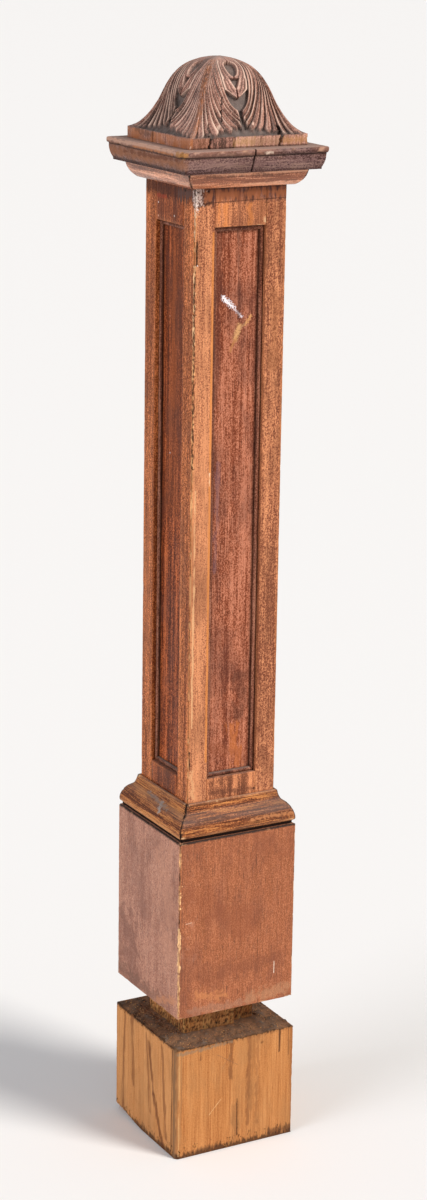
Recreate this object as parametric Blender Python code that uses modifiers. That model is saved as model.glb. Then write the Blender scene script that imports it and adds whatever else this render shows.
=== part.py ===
"""Box newel post with a carved square dome, standing on a shouldered pine foot block.

Metres, +Z up. The origin is at the middle of the foot block's underside. The front is -Y and
the left side is -X, and each side's own left and right are as seen by someone who faces it.
"""

import math

import bmesh
import bpy
from mathutils import Matrix, Vector

# Fits
JOINT = 0.0003  # gap at every joint between two pieces
TENON_EASE = 0.0006  # clearance of the stub tenon inside the shaft
PANEL_EASE = 0.0004  # clearance of a panel's edge in its groove

# Foot block, cut from one length of pine
BLOCK_WIDTH = 0.1828
BLOCK_HEIGHT = 0.161
BLOCK_CHAMFER = 0.004
NECK_WIDTH = 0.113
NECK_HEIGHT = 0.0448
NECK_FRONT = 0.0459  # from the post's axis to the neck's front face
NECK_REBATE_WIDTH = 0.0327
NECK_REBATE_DEPTH = 0.0079
TENON_HEIGHT = 0.115

# Square shaft, a frame of stiles and rails with a sunk panel in each side
SHAFT_WIDTH = 0.1328
SHAFT_HEIGHT = 1.1335
FRAME_THICKNESS = 0.022
STILE_SHOWN = 0.0291  # from the shaft's arris to the panel opening
TOP_RAIL_SHOWN = 0.0507  # from the bed mould to the panel opening
BOTTOM_RAIL_SHOWN = 0.0294  # from the base mould to the panel opening
PANEL_SUNK = 0.0092
PANEL_THICKNESS = 0.008
PANEL_LAP = 0.0057  # how far a panel enters its groove
BEAD_WIDTH = 0.0058
BEAD_HEIGHT = 0.0042
BEAD_SHOULDER = 0.0017  # height of a bead's square sides, under its round

# Plinth boards round the foot of the shaft
PLINTH_WIDTH = 0.1778
PLINTH_HEIGHT = 0.2525

# Base mould, on top of the plinth boards. Its profile is given as shares: in, from its outermost
# edge back to the shaft, and up, from the plinth boards to its top.
BASE_MOULD_HEIGHT = 0.0464
BASE_MOULD_OVERHANG = 0.0009  # past the plinth's face
BASE_QUIRK = (0.19, 0.084)
BASE_OVOLO = ((0.052, 0.131), (-0.017, 0.24), (0.20, 0.606), (0.63, 0.692))
BASE_COVE = ((0.69, 0.722), (0.80, 0.828), (0.85, 0.978))
BASE_TOP_EDGE = (0.92, 1.0)

# Bed mould, under the cornice, with its profile as shares in the same way
BED_MOULD_HEIGHT = 0.0203
BED_MOULD_OUT = 0.0202  # past the shaft's face
BED_OVOLO = ((0.58, 0.0), (0.105, 0.31), (0.0, 0.897))

# Cornice slab
CORNICE_WIDTH = 0.2088
CORNICE_HEIGHT = 0.029
CORNICE_LIP = 0.008  # depth of the fillet round its top
CORNICE_LIP_ROUND = 0.0025
CORNICE_STEP = 0.0022  # from the lip back to the edge under it
CORNICE_BELLY = 0.35  # level at which the edge starts to turn in, as a share of the height
CORNICE_FOOT_SETBACK = 0.0065
CORNICE_FOOT_FILLET = 0.0025
CORNICE_CRACK_X = -0.003
CORNICE_CRACK_DEPTH = 0.016
CORNICE_CRACK_MOUTH = 0.0016

# Carved dome and the plain band that it grows from
BAND_WIDTH = 0.1686
BAND_HEIGHT = 0.0141
DOME_HEIGHT = 0.0924
BAND_CRACK_X = 0.047
BAND_CRACK_MOUTH = 0.0024
BAND_CRACK_DEPTH = 0.02
BAND_CRACK_RISE = 0.026
BAND_CRACK_LEAN = 0.25  # sideways for each unit up
CUTTER_REACH = 0.01  # how far a cutter stands clear of what it cuts

# The dome's outline, as shares of its half-width and of its height: a hollow flare, then a bell
FLARE = ((1.0, 0.0), (0.854, 0.043), (0.753, 0.206), (0.676, 0.357))
BELL = ((0.676, 0.357), (0.581, 0.541), (0.51, 0.996), (0.0, 1.0))
RIDGE_ROUNDING = 0.03  # how far a ridge is drawn in, as a share of the half-width
FACE_FULLNESS = 0.02  # how far a side's middle swells, as a share of the half-width
SQUARE_FOOT = 0.1  # share of the way up over which the square band turns into the rounded dome
OUTLINE_STEPS = 40

# The carving on one side of the dome. "Out" is the share of the way from the side's middle to its
# ridge, and "up" is the share of the way from the band to the crown, measured over the surface.
CARVED_TOP = 0.88
RELIEF = 0.0056  # depth of the sunk ground, and of the cuts between fronds
STEEPEST_CUT = 0.7  # most depth of the cuts between fronds, for each unit of a frond's width
RIDGE_WALL = 0.7  # most depth of the carving near a ridge, for each unit of distance from it

# The cut under the upper leaf, as a curve's handles from the ridge's head down to the middle
LEAF_CUT = ((0.98, 0.88), (0.28, 0.74), (0.52, 0.40), (0.03, 0.30))
# The cuts between the fan's fronds: the innermost, a middle guide and the outermost
FAN_CUTS = (
    ((0.985, 0.86), (0.78, 0.55), (0.45, 0.32), (0.08, 0.155)),
    ((0.985, 0.84), (0.86, 0.45), (0.66, 0.24), (0.48, 0.20)),
    ((0.993, 0.80), (0.96, 0.36), (0.90, 0.18), (0.74, 0.05)),
)
FAN_FRONDS = 5
CUT_STEPS = 24
FROND_ROUNDNESS = 0.6  # lower makes a frond's back flatter and its cuts sharper
FROND_TIP_RUN = 0.045  # run of a frond's tip down to the ground, as a share up
CARVED_FOOT_FADE = 0.035  # share up over which the carving dies into the band
CARVED_TOP_FADE = 0.09

LEAF_POINT = 0.412  # where the upper leaf's two blades meet in a point
LEAF_SLANT = 0.27  # rise of the blades' lower edge for each share out
HOLLOW_FOOT = 0.64
HOLLOW_TOP = 0.81
HOLLOW_HALF = 0.25
NOTCH_FOOT = 0.525
NOTCH_TOP = 0.615
NOTCH_HALF = 0.12
LEAF_REACH = 0.36  # how far out the blades' lower edge runs
LEAF_EDGE_RUN = 0.024
LEAF_MIDRIB_HALF = 0.05
LEAF_MIDRIB_DEPTH = 0.8  # as a share of the relief
BLADE_FALL = 0.9  # how far a blade falls from its rim to its outer cut, as a share of the relief
BLADE_CURVE = 2.2
EDGE_SOFTNESS = 0.016  # run of a carved edge from top to ground, as a share out

# Levels of the carving's rows, closer together where the tips and the leaf's edges lie
ROWS = (
    (0.0, 0.18, 5),
    (0.18, 0.40, 5),
    (0.40, 0.43, 2),
    (0.43, 0.61, 5),
    (0.61, 0.65, 2),
    (0.65, 0.80, 3),
    (0.80, 1.0, 4),
)
SLANT_LEVELS = (0.27, 0.43, 0.64)  # where the rows start to slant, start to level out and are level
SLANT_PASSES = 3  # rounds that settle a column on its cut where the rows slant

# Worked out from the sizes above
SHAFT_HALF = SHAFT_WIDTH / 2
HOLLOW_SHAFT_HALF = SHAFT_HALF - FRAME_THICKNESS
SHAFT_FOOT = BLOCK_HEIGHT + NECK_HEIGHT + JOINT
SHAFT_TOP = SHAFT_FOOT + SHAFT_HEIGHT
OPENING_HALF = SHAFT_HALF - STILE_SHOWN
BASE_MOULD_FOOT = SHAFT_FOOT + PLINTH_HEIGHT + JOINT
BED_MOULD_FOOT = SHAFT_TOP - BED_MOULD_HEIGHT
OPENING_FOOT = BASE_MOULD_FOOT + BASE_MOULD_HEIGHT + BOTTOM_RAIL_SHOWN
OPENING_TOP = BED_MOULD_FOOT - TOP_RAIL_SHOWN
PANEL_FACE = SHAFT_HALF - PANEL_SUNK
GROOVE_DEPTH = PANEL_LAP + PANEL_EASE
GROOVE_FRONT = PANEL_FACE + JOINT
GROOVE_BACK = PANEL_FACE - PANEL_THICKNESS - JOINT
CORNICE_FOOT = SHAFT_TOP + JOINT
BAND_FOOT = CORNICE_FOOT + CORNICE_HEIGHT + JOINT
DOME_FOOT = BAND_FOOT + BAND_HEIGHT

SIDES = {"front": 0, "right": 1, "back": 2, "left": 3}  # quarter turns from the front


# Scene and materials


def clear_scene():
    for obj in list(bpy.data.objects):
        bpy.data.objects.remove(obj)


def new_collection(name):
    collection = bpy.data.collections.new(name)
    bpy.context.scene.collection.children.link(collection)
    return collection


def wood(name, colour, roughness):
    material = bpy.data.materials.new(name)
    material.use_nodes = True
    shader = material.node_tree.nodes["Principled BSDF"]
    shader.inputs["Base Color"].default_value = (*colour, 1.0)
    shader.inputs["Roughness"].default_value = roughness
    shader.inputs["Metallic"].default_value = 0.0
    material.diffuse_color = (*colour, 1.0)
    return material


def add_object(name, bm, collection, material=None, quarter_turns=0):
    """An object of this mesh, turned to its side of the post."""
    bmesh.ops.recalc_face_normals(bm, faces=bm.faces)
    if bm.calc_volume(signed=True) < 0:
        bmesh.ops.reverse_faces(bm, faces=bm.faces)
    mesh = bpy.data.meshes.new(name)
    bm.to_mesh(mesh)
    bm.free()
    obj = bpy.data.objects.new(name, mesh)
    obj.rotation_euler.z = quarter_turns * math.pi / 2
    if material:
        mesh.materials.append(material)
    collection.objects.link(obj)
    return obj


def add_cutter(name, bm, quarter_turns=0):
    cutter = add_object(name, bm, cutters, quarter_turns=quarter_turns)
    cutter.hide_render = True
    cutter.display_type = "WIRE"
    return cutter


def boolean(obj, other, operation):
    modifier = obj.modifiers.new(other.name, "BOOLEAN")
    modifier.operation = operation
    modifier.object = other
    modifier.solver = "EXACT"


# Shapes


def box(low, high):
    """A box between two opposite corners."""
    bm = bmesh.new()
    size = Vector(high) - Vector(low)
    middle = (Vector(high) + Vector(low)) / 2
    bmesh.ops.create_cube(bm, size=1.0, matrix=Matrix.LocRotScale(middle, None, size))
    return bm


def extruded(outline, axis_points, along):
    """The outline, each corner placed by axis_points, drawn out along a vector."""
    bm = bmesh.new()
    face = bm.faces.new([bm.verts.new(axis_points(*corner)) for corner in outline])
    drawn = bmesh.ops.extrude_face_region(bm, geom=[face])
    moved = [item for item in drawn["geom"] if isinstance(item, bmesh.types.BMVert)]
    bmesh.ops.translate(bm, verts=moved, vec=along)
    return bm


def upright(outline, foot, top):
    """A plan outline drawn up from one level to another."""
    return extruded(outline, lambda x, y: (x, y, foot), (0, 0, top - foot))


def mitred_length(section, half_length):
    """A strip along X with its ends mitred inwards. A section point is (inward, up)."""
    bm = extruded(section, lambda inward, up: (-half_length, inward, up), (2 * half_length, 0, 0))
    set_back = JOINT / math.sqrt(2)
    for end in (-1, 1):
        cut = bmesh.ops.bisect_plane(
            bm,
            geom=bm.verts[:] + bm.edges[:] + bm.faces[:],
            plane_co=(end * (half_length - set_back), 0, 0),
            plane_no=(end, 1, 0),
            clear_outer=True,
        )
        edges = [item for item in cut["geom_cut"] if isinstance(item, bmesh.types.BMEdge)]
        bmesh.ops.edgeloop_fill(bm, edges=edges)
    return bm


def curve_point(handles, share):
    """The point at this share of a Bezier curve of any degree."""
    level = [Vector(handle) for handle in handles]
    while len(level) > 1:
        level = [a.lerp(b, share) for a, b in zip(level, level[1:])]
    return tuple(level[0])


def curve_points(handles, steps):
    """Points along the curve, its ends included, or its start alone where steps is 0."""
    return [curve_point(handles, step / max(steps, 1)) for step in range(steps + 1)]


def square_turned(name, profile, material):
    """A profile of (half-width, height), top to bottom, swept round a square plan."""
    bm = bmesh.new()
    corners = [bm.verts.new((half * math.sqrt(2), 0, height)) for half, height in profile]
    for upper, lower in zip(corners, corners[1:]):
        bm.edges.new((upper, lower))
    bmesh.ops.rotate(bm, verts=bm.verts, matrix=Matrix.Rotation(math.pi / 4, 3, "Z"))
    obj = add_object(name, bm, post, material)
    screw = obj.modifiers.new("Square sweep", "SCREW")
    screw.steps = 4
    screw.render_steps = 4
    screw.use_merge_vertices = True
    screw.merge_threshold = 0.00001
    screw.use_smooth_shade = False
    return obj


def crack(name, x, foot, top, face, depth, mouth, lean=0.0):
    """A wedge-shaped split that runs in from the front face, leaning sideways as it rises."""
    wide = mouth / 2 * (1 + CUTTER_REACH / depth)
    front = -face - CUTTER_REACH
    bm = upright(((x - wide, front), (x + wide, front), (x, -face + depth)), foot, top)
    for vert in bm.verts:
        vert.co.x += lean * (vert.co.z - foot)
    return add_cutter(name, bm)


# Foot block


def make_foot_block():
    half = BLOCK_WIDTH / 2
    block = box((-half, -half, 0), (half, half, BLOCK_HEIGHT))
    worn = [
        edge
        for edge in block.edges
        if all(vert.co.x < 0 and vert.co.y < 0 for vert in edge.verts)
        or all(vert.co.x < 0 and vert.co.y > 0 for vert in edge.verts)
    ]
    bmesh.ops.bevel(block, geom=worn, offset=BLOCK_CHAMFER, segments=1, affect="EDGES")
    obj = add_object("foot_block", block, post, pine)

    sink = BLOCK_HEIGHT / 2
    neck_half = NECK_WIDTH / 2
    neck_top = BLOCK_HEIGHT + NECK_HEIGHT
    neck = box(
        (-neck_half, -NECK_FRONT, BLOCK_HEIGHT - sink),
        (neck_half, neck_half, neck_top),
    )
    boolean(obj, add_cutter("neck", neck), "UNION")

    tenon_half = HOLLOW_SHAFT_HALF - TENON_EASE
    tenon_front = NECK_FRONT - NECK_REBATE_DEPTH
    tenon = box(
        (-tenon_half, -tenon_front, BLOCK_HEIGHT),
        (tenon_half, tenon_half, neck_top + TENON_HEIGHT),
    )
    boolean(obj, add_cutter("tenon", tenon), "UNION")

    rebate = box(
        (neck_half - NECK_REBATE_WIDTH, -half, BLOCK_HEIGHT),
        (half, -tenon_front, neck_top + TENON_HEIGHT),
    )
    boolean(obj, add_cutter("neck_rebate", rebate), "DIFFERENCE")


# Shaft


def make_stiles(side, turns):
    """Two full-height stiles, mitred to the next side's and grooved for the panel."""
    outer = SHAFT_HALF
    inner = HOLLOW_SHAFT_HALF
    miter = JOINT / math.sqrt(2)
    edge = OPENING_HALF
    bottom = edge + GROOVE_DEPTH
    outline = (
        (-outer + miter, -outer),
        (-edge, -outer),
        (-edge, -GROOVE_FRONT),
        (-bottom, -GROOVE_FRONT),
        (-bottom, -GROOVE_BACK),
        (-edge, -GROOVE_BACK),
        (-edge, -inner),
        (-inner + miter, -inner),
    )
    for hand, mirror in (("left", 1), ("right", -1)):
        plan = [(x * mirror, y) for x, y in outline]
        bm = upright(plan, SHAFT_FOOT, SHAFT_TOP)
        add_object(f"shaft_stile_{side}_{hand}", bm, post, stained_oak, turns)


def make_rails(side, turns):
    """A tall bottom rail, mostly behind the plinth, and a top rail, each grooved for the panel."""
    half = OPENING_HALF - JOINT
    rails = {
        "bottom": (SHAFT_FOOT, OPENING_FOOT, 1),
        "top": (OPENING_TOP, SHAFT_TOP, -1),
    }
    for place, (foot, top, groove_way) in rails.items():
        edge = top if groove_way > 0 else foot
        bottom = edge - groove_way * GROOVE_DEPTH
        other = foot if groove_way > 0 else top
        section = (
            (-SHAFT_HALF, other),
            (-SHAFT_HALF, edge),
            (-GROOVE_FRONT, edge),
            (-GROOVE_FRONT, bottom),
            (-GROOVE_BACK, bottom),
            (-GROOVE_BACK, edge),
            (-HOLLOW_SHAFT_HALF, edge),
            (-HOLLOW_SHAFT_HALF, other),
        )
        bm = extruded(section, lambda y, z: (-half, y, z), (2 * half, 0, 0))
        add_object(f"shaft_rail_{side}_{place}", bm, post, stained_oak, turns)


def make_panel(side, turns):
    half = OPENING_HALF + PANEL_LAP
    bm = box(
        (-half, -PANEL_FACE, OPENING_FOOT - PANEL_LAP),
        (half, -PANEL_FACE + PANEL_THICKNESS, OPENING_TOP + PANEL_LAP),
    )
    add_object(f"shaft_panel_{side}", bm, post, red_panel, turns)


def make_beads(side, turns):
    """Four rounded strips, planted on the panel against the frame and mitred together."""
    near = JOINT
    far = JOINT + BEAD_WIDTH
    shoulder = JOINT + BEAD_SHOULDER
    crest = JOINT + BEAD_HEIGHT
    handle = (4 * crest - shoulder) / 3  # lifts the middle of the curve to the crest
    rounded = curve_points(((far, shoulder), (far, handle), (near, handle), (near, shoulder)), 6)
    section = [(near, JOINT), (far, JOINT), *rounded]
    half_width = OPENING_HALF
    half_height = (OPENING_TOP - OPENING_FOOT) / 2
    middle = (OPENING_TOP + OPENING_FOOT) / 2
    # Each strip runs along X with its inward side on +Y, and is turned in the panel's plane
    places = {
        "bottom": (half_width, half_height, 0),
        "right": (half_height, half_width, 1),
        "top": (half_width, half_height, 2),
        "left": (half_height, half_width, 3),
    }
    face_up = Matrix.Rotation(math.pi / 2, 4, "X")
    for place, (run, away, turn) in places.items():
        bm = mitred_length(section, run)
        bmesh.ops.translate(bm, verts=bm.verts, vec=(0, -away, 0))
        bm.transform(Matrix.Rotation(turn * math.pi / 2, 4, "Z"))
        bm.transform(Matrix.Translation((0, -PANEL_FACE, middle)) @ face_up)
        add_object(f"panel_bead_{side}_{place}", bm, post, dark_bead, turns)


# Plinth, base mould and bed mould


def make_ring(name, section, half_width, material):
    """Four mitred lengths round the post. A section point is (in from half_width, level)."""
    for side, turns in SIDES.items():
        bm = mitred_length(section, half_width)
        bmesh.ops.translate(bm, verts=bm.verts, vec=(0, -half_width, 0))
        add_object(f"{name}_{side}", bm, post, material, turns)


def make_plinth():
    half = PLINTH_WIDTH / 2
    board = half - SHAFT_HALF - JOINT
    top = SHAFT_FOOT + PLINTH_HEIGHT
    section = ((0, SHAFT_FOOT), (board, SHAFT_FOOT), (board, top), (0, top))
    make_ring("plinth_board", section, half, stained_oak)


def profile_points(handles, steps, projection, foot, height):
    """A profile's curve, from shares of its projection and height to (inward, level)."""
    return [(projection * inward, foot + height * up) for inward, up in curve_points(handles, steps)]


def make_base_mould():
    """A quirk, a flattened ovolo, a small step and a cove, cut on each mitred length."""
    half = PLINTH_WIDTH / 2 + BASE_MOULD_OVERHANG
    back = half - SHAFT_HALF - JOINT
    foot = BASE_MOULD_FOOT
    sizes = (back, foot, BASE_MOULD_HEIGHT)
    section = [
        (back, foot),
        (back * BASE_QUIRK[0], foot),
        *profile_points([BASE_QUIRK], 0, *sizes),
        *profile_points(BASE_OVOLO, 6, *sizes),
        *profile_points(BASE_COVE, 4, *sizes),
        *profile_points([BASE_TOP_EDGE], 0, *sizes),
        (back, foot + BASE_MOULD_HEIGHT),
    ]
    make_ring("base_mould", section, half, amber_oak)


def make_bed_mould():
    half = SHAFT_HALF + BED_MOULD_OUT
    back = BED_MOULD_OUT - JOINT
    foot = BED_MOULD_FOOT
    ovolo = profile_points(BED_OVOLO, 6, back, foot, BED_MOULD_HEIGHT)
    section = [(back, foot), *ovolo, (0, SHAFT_TOP), (back, SHAFT_TOP)]
    make_ring("bed_mould", section, half, amber_oak)


# Cap


def make_cornice():
    """One thick slab with a rounded lip, a full edge under it and a small foot fillet."""
    half = CORNICE_WIDTH / 2
    foot = CORNICE_FOOT
    top = foot + CORNICE_HEIGHT
    body = half - CORNICE_STEP
    foot_half = half - CORNICE_FOOT_SETBACK
    lip_foot = top - CORNICE_LIP
    lip = curve_points(((half - CORNICE_LIP_ROUND, top), (half, top), (half, top - CORNICE_LIP_ROUND)), 3)
    edge = curve_points(
        (
            (body, lip_foot),
            (body, foot + CORNICE_HEIGHT * CORNICE_BELLY),
            (foot_half, foot + CORNICE_FOOT_FILLET),
        ),
        6,
    )
    profile = [(0, top), *lip, (half, lip_foot), *edge, (foot_half, foot), (0, foot)]
    obj = square_turned("cap_cornice", profile, dark_cornice)
    split = crack(
        "cornice_crack",
        CORNICE_CRACK_X,
        foot - CUTTER_REACH,
        top + CUTTER_REACH,
        half,
        CORNICE_CRACK_DEPTH,
        CORNICE_CRACK_MOUTH,
    )
    boolean(obj, split, "DIFFERENCE")


def dome_outline():
    """The dome's outline as points of (half-width, height, share of the way up its surface)."""
    half = BAND_WIDTH / 2
    shares = curve_points(FLARE, OUTLINE_STEPS) + curve_points(BELL, OUTLINE_STEPS)[1:]
    points = [(half * r, DOME_HEIGHT * h) for r, h in shares]
    travelled = [0.0]
    for a, b in zip(points, points[1:]):
        travelled.append(travelled[-1] + math.dist(a, b))
    return [(r, h, way / travelled[-1]) for (r, h), way in zip(points, travelled)]


def outline_at(outline, up):
    """Half-width, height and outward slope of the outline at this share of the way up."""
    for (r0, h0, way0), (r1, h1, way1) in zip(outline, outline[1:]):
        if up <= way1 or way1 == 1.0:
            share = (up - way0) / (way1 - way0)
            run = math.hypot(r1 - r0, h1 - h0)
            normal = ((h1 - h0) / run, (r0 - r1) / run)
            return r0 + share * (r1 - r0), h0 + share * (h1 - h0), normal
    raise ValueError("up is past the crown")


def cut_handles():
    """The handles of every cut, from the one under the upper leaf out to the ridge."""
    cuts = [LEAF_CUT]
    for number in range(FAN_FRONDS):
        share = number / (FAN_FRONDS - 1)
        cuts.append([curve_point(guides, share) for guides in zip(*FAN_CUTS)])
    return cuts


def cut_out(trace, up):
    """How far out a cut lies at this level. Below its tip it drops straight down."""
    if up >= trace[0][1]:
        return trace[0][0]
    for (out0, up0), (out1, up1) in zip(trace, trace[1:]):
        if up >= up1:
            return out0 + (out1 - out0) * (up0 - up) / (up0 - up1)
    return trace[-1][0]


def ramp(value, start, end):
    """0 before start, 1 after end, and smooth between them."""
    share = min(max((value - start) / (end - start), 0.0), 1.0)
    return share * share * (3 - 2 * share)


def hollow_out(up):
    """Half-width of the leaf's drop-shaped hollow, or of the notch under it, at this level."""
    height = (up - HOLLOW_FOOT) / (HOLLOW_TOP - HOLLOW_FOOT)
    if 0 < height < 1:
        return HOLLOW_HALF * math.sqrt(height) * math.sqrt(1 - height**6)
    height = (up - NOTCH_FOOT) / (NOTCH_TOP - NOTCH_FOOT)
    return NOTCH_HALF * height if 0 < height <= 1 else 0.0


def fan_sunk(across, up, tip):
    """How deep a frond of the fan is cut, as a share: a round back between two cuts."""
    back = math.sin(math.pi * across) ** FROND_ROUNDNESS
    past_tip = 1 - ramp(up, tip - FROND_TIP_RUN * 2 / 3, tip + FROND_TIP_RUN / 3)
    return max(1 - back, past_tip)


def leaf_sunk(out, cut, up, cut_depth):
    """How deep the upper leaf, its hollows and the ground under it are cut, as a share."""
    edge = LEAF_POINT + LEAF_SLANT * out
    ground = 1 - ramp(up, edge - LEAF_EDGE_RUN / 2, edge + LEAF_EDGE_RUN / 2)
    hollow = hollow_out(up)
    if hollow and out < hollow - EDGE_SOFTNESS / 2:
        return 1.0
    midrib = 0.0 if hollow else LEAF_MIDRIB_DEPTH * (1 - ramp(out, 0.0, LEAF_MIDRIB_HALF))
    across = (out - hollow) / max(cut - hollow, EDGE_SOFTNESS)
    blade = BLADE_FALL * cut_depth * min(max(across, 0.0), 1.0) ** BLADE_CURVE
    return max(blade, midrib, ground)


def carved_share(cuts, out, up, half):
    """How deep the carving is at a place on one side, as a share of the full relief."""
    edges = [cut_out(trace, up) for trace in cuts] + [1.0]
    frond_width = half * (1.0 - edges[0]) / len(cuts)
    cut_depth = min(1.0, STEEPEST_CUT * frond_width / RELIEF)
    if out <= edges[0]:
        return leaf_sunk(out, edges[0], up, cut_depth) if up > cuts[0][-1][1] else 1.0
    for number, (inner, outer) in enumerate(zip(edges, edges[1:])):
        if out <= outer:
            across = (out - inner) / (outer - inner)
            if outer == 1.0:
                across *= 0.5
            tip = cuts[min(number + 1, len(cuts) - 1)][-1][1]
            return cut_depth * fan_sunk(across, up, tip)
    return 0.0


def carved_depth(cuts, out, up, half):
    """How far the carving is cut below the dome's outline at a place on one side."""
    fade = ramp(up, 0.0, CARVED_FOOT_FADE) * (1 - ramp(up, CARVED_TOP - CARVED_TOP_FADE, CARVED_TOP))
    return min(RELIEF * fade * carved_share(cuts, out, up, half), RIDGE_WALL * half * (1.0 - out))


def carving_columns(cuts, up):
    """Where the grid's columns lie at this level, from the side's middle to its ridge."""
    edges = [cut_out(trace, up) for trace in cuts] + [1.0]
    rim = hollow_out(up) or min(LEAF_MIDRIB_HALF, edges[0] / 2)
    columns = [0.0, max(rim - EDGE_SOFTNESS, rim / 2), rim, (rim + edges[0]) / 2, edges[0]]
    for inner, outer in zip(edges, edges[1:]):
        columns += [(inner + outer) / 2, outer]
    return columns


def dome_point(outline, cuts, out, up):
    """A place on the front side of the carved dome, out to the right."""
    half, height, normal = outline_at(outline, up)
    depth = carved_depth(cuts, out, up, half)
    rounded = ramp(up, 0.0, SQUARE_FOOT)
    half *= 1 + FACE_FULLNESS * rounded
    drawn_in = RIDGE_ROUNDING * rounded
    across = out * half * (1 - drawn_in)
    forward = half * (1 - drawn_in * out**8) - depth * normal[0]
    return across, -forward, DOME_FOOT + height - depth * normal[1]


def slanted_level(level, out):
    """A row's level at a place out: the rows round the leaf's point follow its lower edge."""
    start, settled, end = SLANT_LEVELS
    near_leaf = ramp(level, start, LEAF_POINT) * (1 - ramp(level, settled, end))
    return level + LEAF_SLANT * min(out, LEAF_REACH) * near_leaf * (1 - ramp(out, LEAF_REACH, 1.0))


def row_levels():
    levels = [0.0]
    for start, end, count in ROWS:
        levels += [start + (end - start) * (step + 1) / count for step in range(count)]
    return levels[:-1]


def dome_rings():
    """Rings of points round the dome, from the band's foot to just under the crown."""
    outline = dome_outline()
    cuts = [curve_points(handles, CUT_STEPS) for handles in cut_handles()]
    rings = []
    for level in row_levels():
        right = []
        for number, out in enumerate(carving_columns(cuts, level)):
            up = level
            for _ in range(SLANT_PASSES):
                up = slanted_level(level, out)
                out = carving_columns(cuts, up)[number]
            right.append(dome_point(outline, cuts, out, up))
        left = [(-x, y, z) for x, y, z in reversed(right[1:])]
        side = (left + right)[:-1]
        ring = []
        for turns in range(4):
            turn = Matrix.Rotation(turns * math.pi / 2, 3, "Z")
            ring += [turn @ Vector(point) for point in side]
        rings.append(ring)
    band_foot = [Vector((point.x, point.y, BAND_FOOT)) for point in rings[0]]
    return [band_foot, *rings]


def make_dome():
    """The carved dome and its band, one block: a loft of rings whose points follow the fronds."""
    bm = bmesh.new()
    rings = [[bm.verts.new(point) for point in ring] for ring in dome_rings()]
    for lower, upper in zip(rings, rings[1:]):
        for number, vert in enumerate(lower):
            after = (number + 1) % len(lower)
            bm.faces.new((vert, lower[after], upper[after], upper[number]))
    crown = bm.verts.new((0, 0, DOME_FOOT + DOME_HEIGHT))
    foot = bm.verts.new((0, 0, BAND_FOOT))
    for ring, tip in ((rings[0], foot), (rings[-1], crown)):
        for number, vert in enumerate(ring):
            bm.faces.new((vert, ring[(number + 1) % len(ring)], tip))
    obj = add_object("cap_dome", bm, post, carved_oak)
    split = crack(
        "band_crack",
        BAND_CRACK_X,
        BAND_FOOT - CUTTER_REACH,
        BAND_FOOT + BAND_CRACK_RISE,
        BAND_WIDTH / 2,
        BAND_CRACK_DEPTH,
        BAND_CRACK_MOUTH,
        BAND_CRACK_LEAN,
    )
    boolean(obj, split, "DIFFERENCE")


clear_scene()
post = new_collection("Newel post")
cutters = new_collection("Cutters")

pine = wood("Pine", (0.58, 0.31, 0.12), 0.7)
stained_oak = wood("Stained oak", (0.25, 0.085, 0.035), 0.4)
red_panel = wood("Red-stained panel", (0.22, 0.06, 0.03), 0.4)
dark_bead = wood("Dark bead", (0.13, 0.045, 0.025), 0.45)
amber_oak = wood("Amber oak", (0.38, 0.14, 0.05), 0.45)
dark_cornice = wood("Dark stained oak", (0.13, 0.06, 0.045), 0.4)
carved_oak = wood("Carved oak", (0.12, 0.06, 0.045), 0.5)

make_foot_block()
for side_name, side_turns in SIDES.items():
    make_stiles(side_name, side_turns)
    make_rails(side_name, side_turns)
    make_panel(side_name, side_turns)
    make_beads(side_name, side_turns)
make_plinth()
make_base_mould()
make_bed_mould()
make_cornice()
make_dome()
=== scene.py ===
"""The looks of a boxed oak newel post with a carved dome cap, stained, varnished and long in use.

Metres, +Z up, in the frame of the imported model: the origin is at the middle of the foot block's
underside, the front is -Y and the left side is -X.
"""

import logging
import math
from dataclasses import dataclass, replace
from enum import Enum
from typing import Iterable, Sequence

import bmesh
import bpy
import numpy as np
from mathutils import Matrix, Vector, noise


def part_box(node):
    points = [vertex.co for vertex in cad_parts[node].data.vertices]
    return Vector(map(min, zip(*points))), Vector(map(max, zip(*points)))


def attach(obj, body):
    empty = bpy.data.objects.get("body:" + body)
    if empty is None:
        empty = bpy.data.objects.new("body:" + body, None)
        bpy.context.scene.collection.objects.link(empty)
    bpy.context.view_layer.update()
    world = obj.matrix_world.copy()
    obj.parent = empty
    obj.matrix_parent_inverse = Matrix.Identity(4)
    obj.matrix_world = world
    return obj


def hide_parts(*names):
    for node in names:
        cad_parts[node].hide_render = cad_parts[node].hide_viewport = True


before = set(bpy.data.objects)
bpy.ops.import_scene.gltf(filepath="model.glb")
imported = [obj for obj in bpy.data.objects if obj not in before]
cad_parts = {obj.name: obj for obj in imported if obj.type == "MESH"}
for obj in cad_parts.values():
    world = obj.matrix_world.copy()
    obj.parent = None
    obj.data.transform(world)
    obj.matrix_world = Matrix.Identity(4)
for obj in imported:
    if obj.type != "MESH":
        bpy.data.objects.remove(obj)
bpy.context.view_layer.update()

MM = 0.001
SIDES = {"front": 0, "right": 1, "back": 2, "left": 3}  # quarter turns from the front

log = logging.getLogger("newel_post")


# Nodes and colours


def linear(hex_colour: str) -> tuple[float, float, float, float]:
    """An sRGB hex colour as linear RGBA."""
    parts = [int(hex_colour[i : i + 2], 16) / 255 for i in (1, 3, 5)]
    return (*(c / 12.92 if c <= 0.04045 else ((c + 0.055) / 1.055) ** 2.4 for c in parts), 1.0)


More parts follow.
